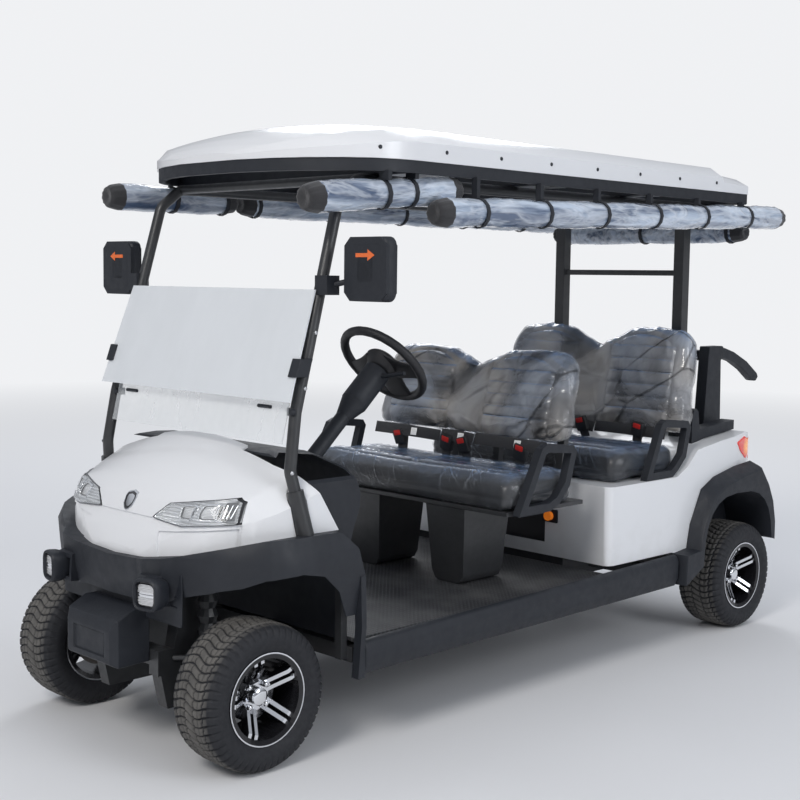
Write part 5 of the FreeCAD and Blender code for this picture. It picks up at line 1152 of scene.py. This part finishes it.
def add_badge():
    """A blank shield on the nose."""
    outline = finer(rounded([(-0.026, 0.808), (0.0, 0.814), (0.026, 0.808), (0.031, 0.794), (0.026, 0.770),
                             (0.011, 0.754), (0.0, 0.750), (-0.011, 0.754), (-0.026, 0.770), (-0.031, 0.794)],
                            0.003, 2), 0.004)
    made = Build()
    made.rings(on_front(face_tree("nose_panel"), 1, outline, (
        (1.0, 0.002), (1.0, -0.0022), (0.93, -0.0036), (0.86, -0.0036), (0.82, -0.0018), (0.60, -0.0024),
        (0.56, -0.0030), (0.02, -0.0036))), (1, 1, 1, 0, 0, 1, 1))
    made.piece("nose_badge_blank", [lamp_black, chrome], slot="rim_chrome")


def add_amber_plates():
    """A black plate behind each round amber lamp."""
    made = Build()
    outline = box_outline(0.040, 0.027, 0.006)
    for sign in (1, -1):
        made.slab(outline, lambda u, v, h: Vector((sign * 0.262 + u, AMBER_BACK - h, 0.552 + v)),
                  -0.0002, 0.004, 0.001)
    made.piece("amber_lamp_plates", [moulded_black])


def add_flank_lenses():
    """The tail lamps' forward ends, on the rear body's flanks, which lean inwards towards the back."""
    glass = tail_glass("lamp_flank", 2.722, 0.780)
    outline = finer(rounded(FLANK_LENS, 0.006, 3), 0.008)
    middle = Vector((2.703, 0.782))
    for side, sign in SIDES:
        made = Build()
        rings = []
        for share, rise in ((1.0, -0.001), (1.0, 0.0025), (0.95, 0.0042), (0.88, 0.0046), (0.5, 0.0060),
                            (0.02, 0.0064)):
            flat = [middle.lerp(Vector(point), share) for point in outline]
            rings.append([at(sign * (0.557 - 0.172 * (p.x - 2.620) + rise), p.x, p.y) for p in flat])
        made.rings(rings)
        made.piece("tail_lens_" + side, [glass], slot="lamp_red")


# Steering wheel, mirrors and belts

WHEEL_CENTRE = (0.250, 0.757, 1.200)
WHEEL_TILT = math.radians(42.7 - 90)
WHEEL_RADIUS = 0.161
WHEEL_RIM = 0.0160


def add_steering_wheel():
    """A rim with faint finger grips, a domed hub pad over a narrower boss, three wide spokes and a button."""
    place = Matrix.Translation(at(*WHEEL_CENTRE)) @ Matrix.Rotation(WHEEL_TILT, 4, "X")
    made = Build()
    rings = []
    for step, (c, s) in enumerate(circle(96)):
        grip = WHEEL_RIM * (1 - 0.03 * max(0.0, math.sin(math.tau * step / 96 * 24)))
        rings.append([place @ Vector(((WHEEL_RADIUS + grip * u) * c, (WHEEL_RADIUS + grip * u) * s, grip * v))
                      for u, v in circle(18)])
    made.rings(rings + rings[:1])
    bmesh.ops.remove_doubles(made.mesh, verts=made.mesh.verts, dist=0.00002)
    hub = []
    for radius, height in ((0.034, -0.036), (0.044, -0.030), (0.050, -0.014), (0.060, -0.004), (0.062, 0.004),
                           (0.058, 0.011), (0.044, 0.016), (0.020, 0.018), (0.002, 0.018)):
        hub.append([place @ Vector((radius * (1.12 - 0.06 * (c * c - s * s)) * c * 1.04,
                                    radius * (1.05 - 0.08 * s) * s, height)) for c, s in circle(48)])
    made.rings(hub, ends=(True, False))
    for angle, head in ((8, 0.032), (172, 0.032), (90, 0.052)):
        turned = place @ Matrix.Rotation(math.radians(angle), 4, "Z")
        rings = []
        for step in range(13):
            share = step / 12
            half = head + (0.062 - head) * (1 - share) ** 2 + 0.006 * max(0.0, share - 0.8) * 5
            rise = -0.004 - 0.004 * math.sin(share * math.pi)
            rings.append([turned @ Vector((0.035 + (WHEEL_RADIUS - 0.035) * share, u, rise + v))
                          for u, v in superellipse(half, 0.0065, 3.0, 24)])
        made.rings(rings, ends=(True, True))
    made.rings([[place @ Vector((radius * c, radius * s, height)) for c, s in circle(48)]
                for radius, height in ((0.040, 0.0166), (0.039, 0.0186), (0.036, 0.0192), (0.002, 0.0205))])
    made.piece("steering_wheel_rim", [leather("wheel_leather", (0.012, 0.012, 0.014))], "steering_wheel",
               "moulded_black", ("steering_wheel",))


MIRROR = (0.669, 0.266, 1.526)
MIRROR_HALF = (0.0925, 0.0975)
MIRROR_DEPTH = 0.046
ARROW = [(-0.040, -0.006), (0.012, -0.006), (0.012, -0.017), (0.042, 0.0), (0.012, 0.017), (0.012, 0.006),
         (-0.040, 0.006)]


def add_mirrors():
    """A rounded housing, its glass, and a plain arrow on the front that points outwards."""
    glass = plain_metal("mirror_glass", (0.72, 0.76, 0.80), 0.04)
    arrow_paint = moulded_plastic("arrow_orange", (0.80, 0.16, 0.04), 300.0)
    x, station, z = MIRROR
    half_u, half_v = MIRROR_HALF
    rim = box_outline(half_u, half_v, 0.030, 8)
    back = MIRROR_DEPTH
    sunk = back - 0.0035
    for side, sign in SIDES:
        made = Build()

        def levels(*pairs):
            return [[at(sign * x + u * (1 - inset / half_u), station + depth, z + v * (1 - inset / half_v))
                     for u, v in rim] for inset, depth in pairs]
        made.rings(levels((0.060, 0.0), (0.026, -0.0006), (0.012, 0.0015), (0.004, 0.006), (0.0, 0.014),
                          (-0.0006, 0.030), (-0.0006, back - 0.006), (0.002, back - 0.001), (0.005, back),
                          (0.008, sunk)), ends=(True, False))
        made.rings(levels((0.008, sunk), (0.05, sunk), (0.088, sunk)), 1)
        face = [at(sign * (x + u), station - 0.0012, z + 0.042 + v) for u, v in ARROW]
        made.rings([[point + Vector((0, 0.001, 0)) for point in face], face], 2, ends=(False, True))
        made.piece("mirror_" + side, [moulded_black, glass, arrow_paint])


def ribbon(made, points, width_ray, width, thick, number=0):
    """A flat strap through the points; the ray gives its width's direction."""
    rings = []
    for index, point in enumerate(points):
        ahead = (points[min(index + 1, len(points) - 1)] - points[max(index - 1, 0)]).normalized()
        across = (width_ray - ahead * width_ray.dot(ahead)).normalized()
        out = ahead.cross(across)
        rings.append([point + across * (u * width / 2) + out * (v * thick / 2)
                      for u, v in ((-1, -0.5), (-0.96, -1), (0.96, -1), (1, -0.5), (1, 0.5), (0.96, 1),
                                   (-0.96, 1), (-1, 0.5))])
    made.rings(rings, number, ends=(True, True))


def add_belts():
    """Buckles with red buttons, lap straps along the backs' feet, and their blank tags."""
    strap = webbing("belt_webbing", (0.012, 0.012, 0.014))
    red = moulded_plastic("buckle_red", (0.62, 0.02, 0.015), 200.0)
    tag = leather("blank_tag", (0.78, 0.78, 0.76))
    body = rounded([(-0.027, 0.030), (0.027, 0.030), (0.030, 0.075), (0.026, 0.092), (-0.026, 0.092),
                    (-0.030, 0.075)], 0.005, 3)
    button = box_outline(0.018, 0.0105, 0.004, 3, 0.0785)
    made = Build()
    for station, seat_top in ((1.420, 0.786), (2.192, 0.818)):
        for x, lean in ((-0.300, -0.2), (-0.060, 0.25), (0.060, -0.25), (0.330, 0.2)):
            root = at(x, station, seat_top)
            ray = Vector((lean, -0.18, 1)).normalized()
            out = Vector((0, -1, -0.18)).normalized()
            side = ray.cross(out).normalized()

            def placed(u, v, h):
                return root + side * u + ray * v + out * h
            ribbon(made, [root, root + ray * 0.045], side, 0.046, 0.004, 1)
            made.slab(body, placed, -0.011, 0.013, 0.004)
            made.slab(button, placed, 0.010, 0.0155, 0.0015, 2)
    made.piece("belt_buckles", [finishes["buckle"], strap, red], slot="buckle", replaced=("seat_belts",))
    straps = Build()
    up = Vector((0, 0.25, 1))
    for station, height in ((1.412, 0.872), (2.205, 0.868)):
        for first, last, sag in ((-0.470, -0.088, 0.014), (-0.088, 0.092, 0.005), (0.092, 0.462, 0.014)):
            start, end = at(first, station + 0.010, height), at(last, station, height - 0.004)
            bow = Vector((0, -sag, 0.004))
            line = [start.lerp(end, k / 14) + bow * math.sin(math.pi * k / 14) for k in range(15)]
            ribbon(straps, line, up, 0.046, 0.003)
            middle = line[9] + Vector((0, -0.0030, 0))
            half = Vector((0.016, 0, 0))
            ribbon(straps, [middle - half, middle + half], up, 0.030, 0.001, 1)
    straps.piece("belt_straps", [strap, tag], slot="buckle")


# Bolts, screws and other trim

def add_trim():
    screws = Build()
    roof = face_tree("roof_shell")
    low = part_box("roof_shell")[0]
    for sign in (1, -1):
        for k in range(9):
            place, normal, _, _ = roof.ray_cast(at(sign * 2.0, 0.42 + k * 0.27, low[2] + 0.034),
                                                Vector((-sign, 0, 0)))
            screws.dome(place, normal, 0.0065, 0.003)
    screws.piece("roof_screws", [moulded_black])
    # Knobs and hinge bars of the folding windscreen
    knobs = Build()
    screen = face_tree("windshield_upper", "windshield_lower", "windshield_posts", "windshield_clips")
    for px, py in ((117.6, 391.0), (293.6, 412.4)):
        knobs.dome(through_pixel(px, py, screen), Vector((0, -1, 0.1)), 0.011, 0.014, 16)
    pane = face_tree("windshield_upper", "windshield_lower")
    for px, py in ((133.6, 390.0), (266.0, 406.0)):
        middle = through_pixel(px, py, pane) + Vector((0, -0.006, 0))
        knobs.tube([middle - Vector((0.030, 0, 0)), middle + Vector((0.030, 0, 0))], 0.006)
    knobs.piece("windscreen_knobs", [moulded_black])
    bolts = Build()
    posts = face_tree("windshield_posts")
    for sign in (1, -1):
        for station, z in ((0.110, 0.905), (0.170, 1.160), (0.215, 1.330), (0.262, 1.500)):
            place = posts.ray_cast(at(sign * 1.0, station, z), Vector((-sign, 0, 0)))[0]
            bolts.dome(place, Vector((sign, 0, 0)), 0.007, 0.004, 6)
    bolts.piece("bolts", [plain_metal("bolt_metal", (0.55, 0.56, 0.58), 0.3)], slot="axle_metal")


def add_splash_shield_and_shade():
    """A ribbed black plastic sheet behind the bumper, which closes the view into the wheel wells: partly the
    inner panels there, partly painted shade behind the bumper.
    """
    made = Build()
    outline = box_outline(0.335, 0.0825, 0.012, 3, 0.5175)
    made.slab(outline, lambda u, v, h: at(u, -0.160 - h, v), 0.0, 0.004, 0.001)
    for z in (0.495, 0.525, 0.555):
        made.tube([at(-0.31, -0.164, z), at(0.31, -0.164, z)], 0.003, 0, 8)
    made.piece("splash_shield_and_shade", [moulded_black])


def add_wheel_trim():
    """Lug nuts, a cap and a valve on each wheel."""
    for corner, x, station in WHEELS:
        outward = Vector((1 if x > 0 else -1, 0, 0))
        faces = face_tree("rim_" + corner)
        centre = at(x, station, TYRE_RADIUS)
        made = Build()
        hub = faces.ray_cast(centre + outward * 0.5, -outward)[0]
        made.dome(hub, outward, 0.027, 0.010, 24)
        for k in range(4):
            turn = math.tau * (k + 0.5) / 4
            ray = Vector((0, math.cos(turn), math.sin(turn)))
            nut = faces.ray_cast(centre + ray * 0.043 + outward * 0.5, -outward)[0]
            made.dome(nut, outward, 0.0095, 0.016, 6)
        ray = Vector((0, math.cos(0.5), math.sin(0.5)))
        valve = centre + ray * 0.118 + outward * 0.062
        made.tube([valve, valve + outward * 0.022 - ray * 0.004], 0.0042, 1, 10)
        made.piece("wheel_trim_" + corner, [chrome, lamp_black], "wheel_" + corner, "rim_chrome")


add_front_lamps()
add_badge()
add_amber_plates()
add_flank_lenses()
add_steering_wheel()
add_mirrors()
add_belts()
add_trim()
add_splash_shield_and_shade()
add_wheel_trim()


# Surround, floor and light

def add_world():
    """A pale surround that the camera sees as near white. Its light is darker below, so gloss shows form."""
    world = bpy.data.worlds.new("studio")
    scene.world = world
    world.use_nodes = True
    made = Shading(world.node_tree)
    made.tree.nodes.clear()
    path = made.add("LightPath").outputs
    seen = made.math("MAXIMUM", path["Is Camera Ray"], path["Is Transmission Ray"])
    height = made.add("SeparateXYZ", made.add("TexCoord").outputs["Generated"]).outputs["Z"]
    ramp = made.add("ValToRGB", height)
    for element, place, colour in zip(ramp.color_ramp.elements, (0.0, 0.55),
                                      ((0.30, 0.31, 0.34, 1), (1.15, 1.2, 1.3, 1))):
        element.position = place
        element.color = colour
    light = made.add("Background", ramp.outputs["Color"], Strength=0.46)
    mixed = made.blend(seen, light, made.add("Background", Color=BACKDROP_COLOUR))
    made.join(mixed, made.add("OutputWorld").inputs["Surface"])


FLOOR_REACH = 60.0


def add_floor():
    """A pale floor that fades into the backdrop far away, for the rays that see the backdrop."""
    far = FLOOR_REACH
    mesh = bpy.data.meshes.new("studio_floor")
    mesh.from_pydata([(-far, -far, 0), (far, -far, 0), (far, far, 0), (-far, far, 0)], [], [(0, 1, 2, 3)])
    floor = bpy.data.objects.new("studio_floor", mesh)
    scene.collection.objects.link(floor)
    finish = Finish("studio_floor", (0.78, 0.785, 0.80), 0.75)
    finish.grain(90.0, 3.0, 0.002, 0.1)
    away = finish.add("VectorMath", finish.place, operation="LENGTH").outputs["Value"]
    path = finish.add("LightPath").outputs
    seen = finish.math("MAXIMUM", path["Is Camera Ray"],
                       finish.math("MAXIMUM", path["Is Glossy Ray"], path["Is Transmission Ray"]))
    faded = finish.math("MULTIPLY", finish.ramp(away, 3.0, 14.0), seen)
    glow = finish.add("Emission", Color=BACKDROP_COLOUR, Strength=1.0)
    mixed = finish.blend(faded, finish.shader, glow)
    finish.join(mixed, finish.tree.nodes["Material Output"].inputs["Surface"])
    mesh.materials.append(finish.material)


add_camera()
add_world()
add_floor()
add_lamp("key", (2.5, -7.5, 6.5), (0, -0.6, 0.9), 3.0, 330, (1.0, 0.97, 0.93))
add_lamp("side", (8.0, 0.5, 4.0), (0, 0, 0.8), 4.0, 185, (0.93, 0.96, 1.0))
add_lamp("back", (-5.0, 5.0, 5.5), (0, 0.5, 1.0), 4.0, 170, (0.95, 0.97, 1.0))
scene.view_settings.view_transform = "Standard"
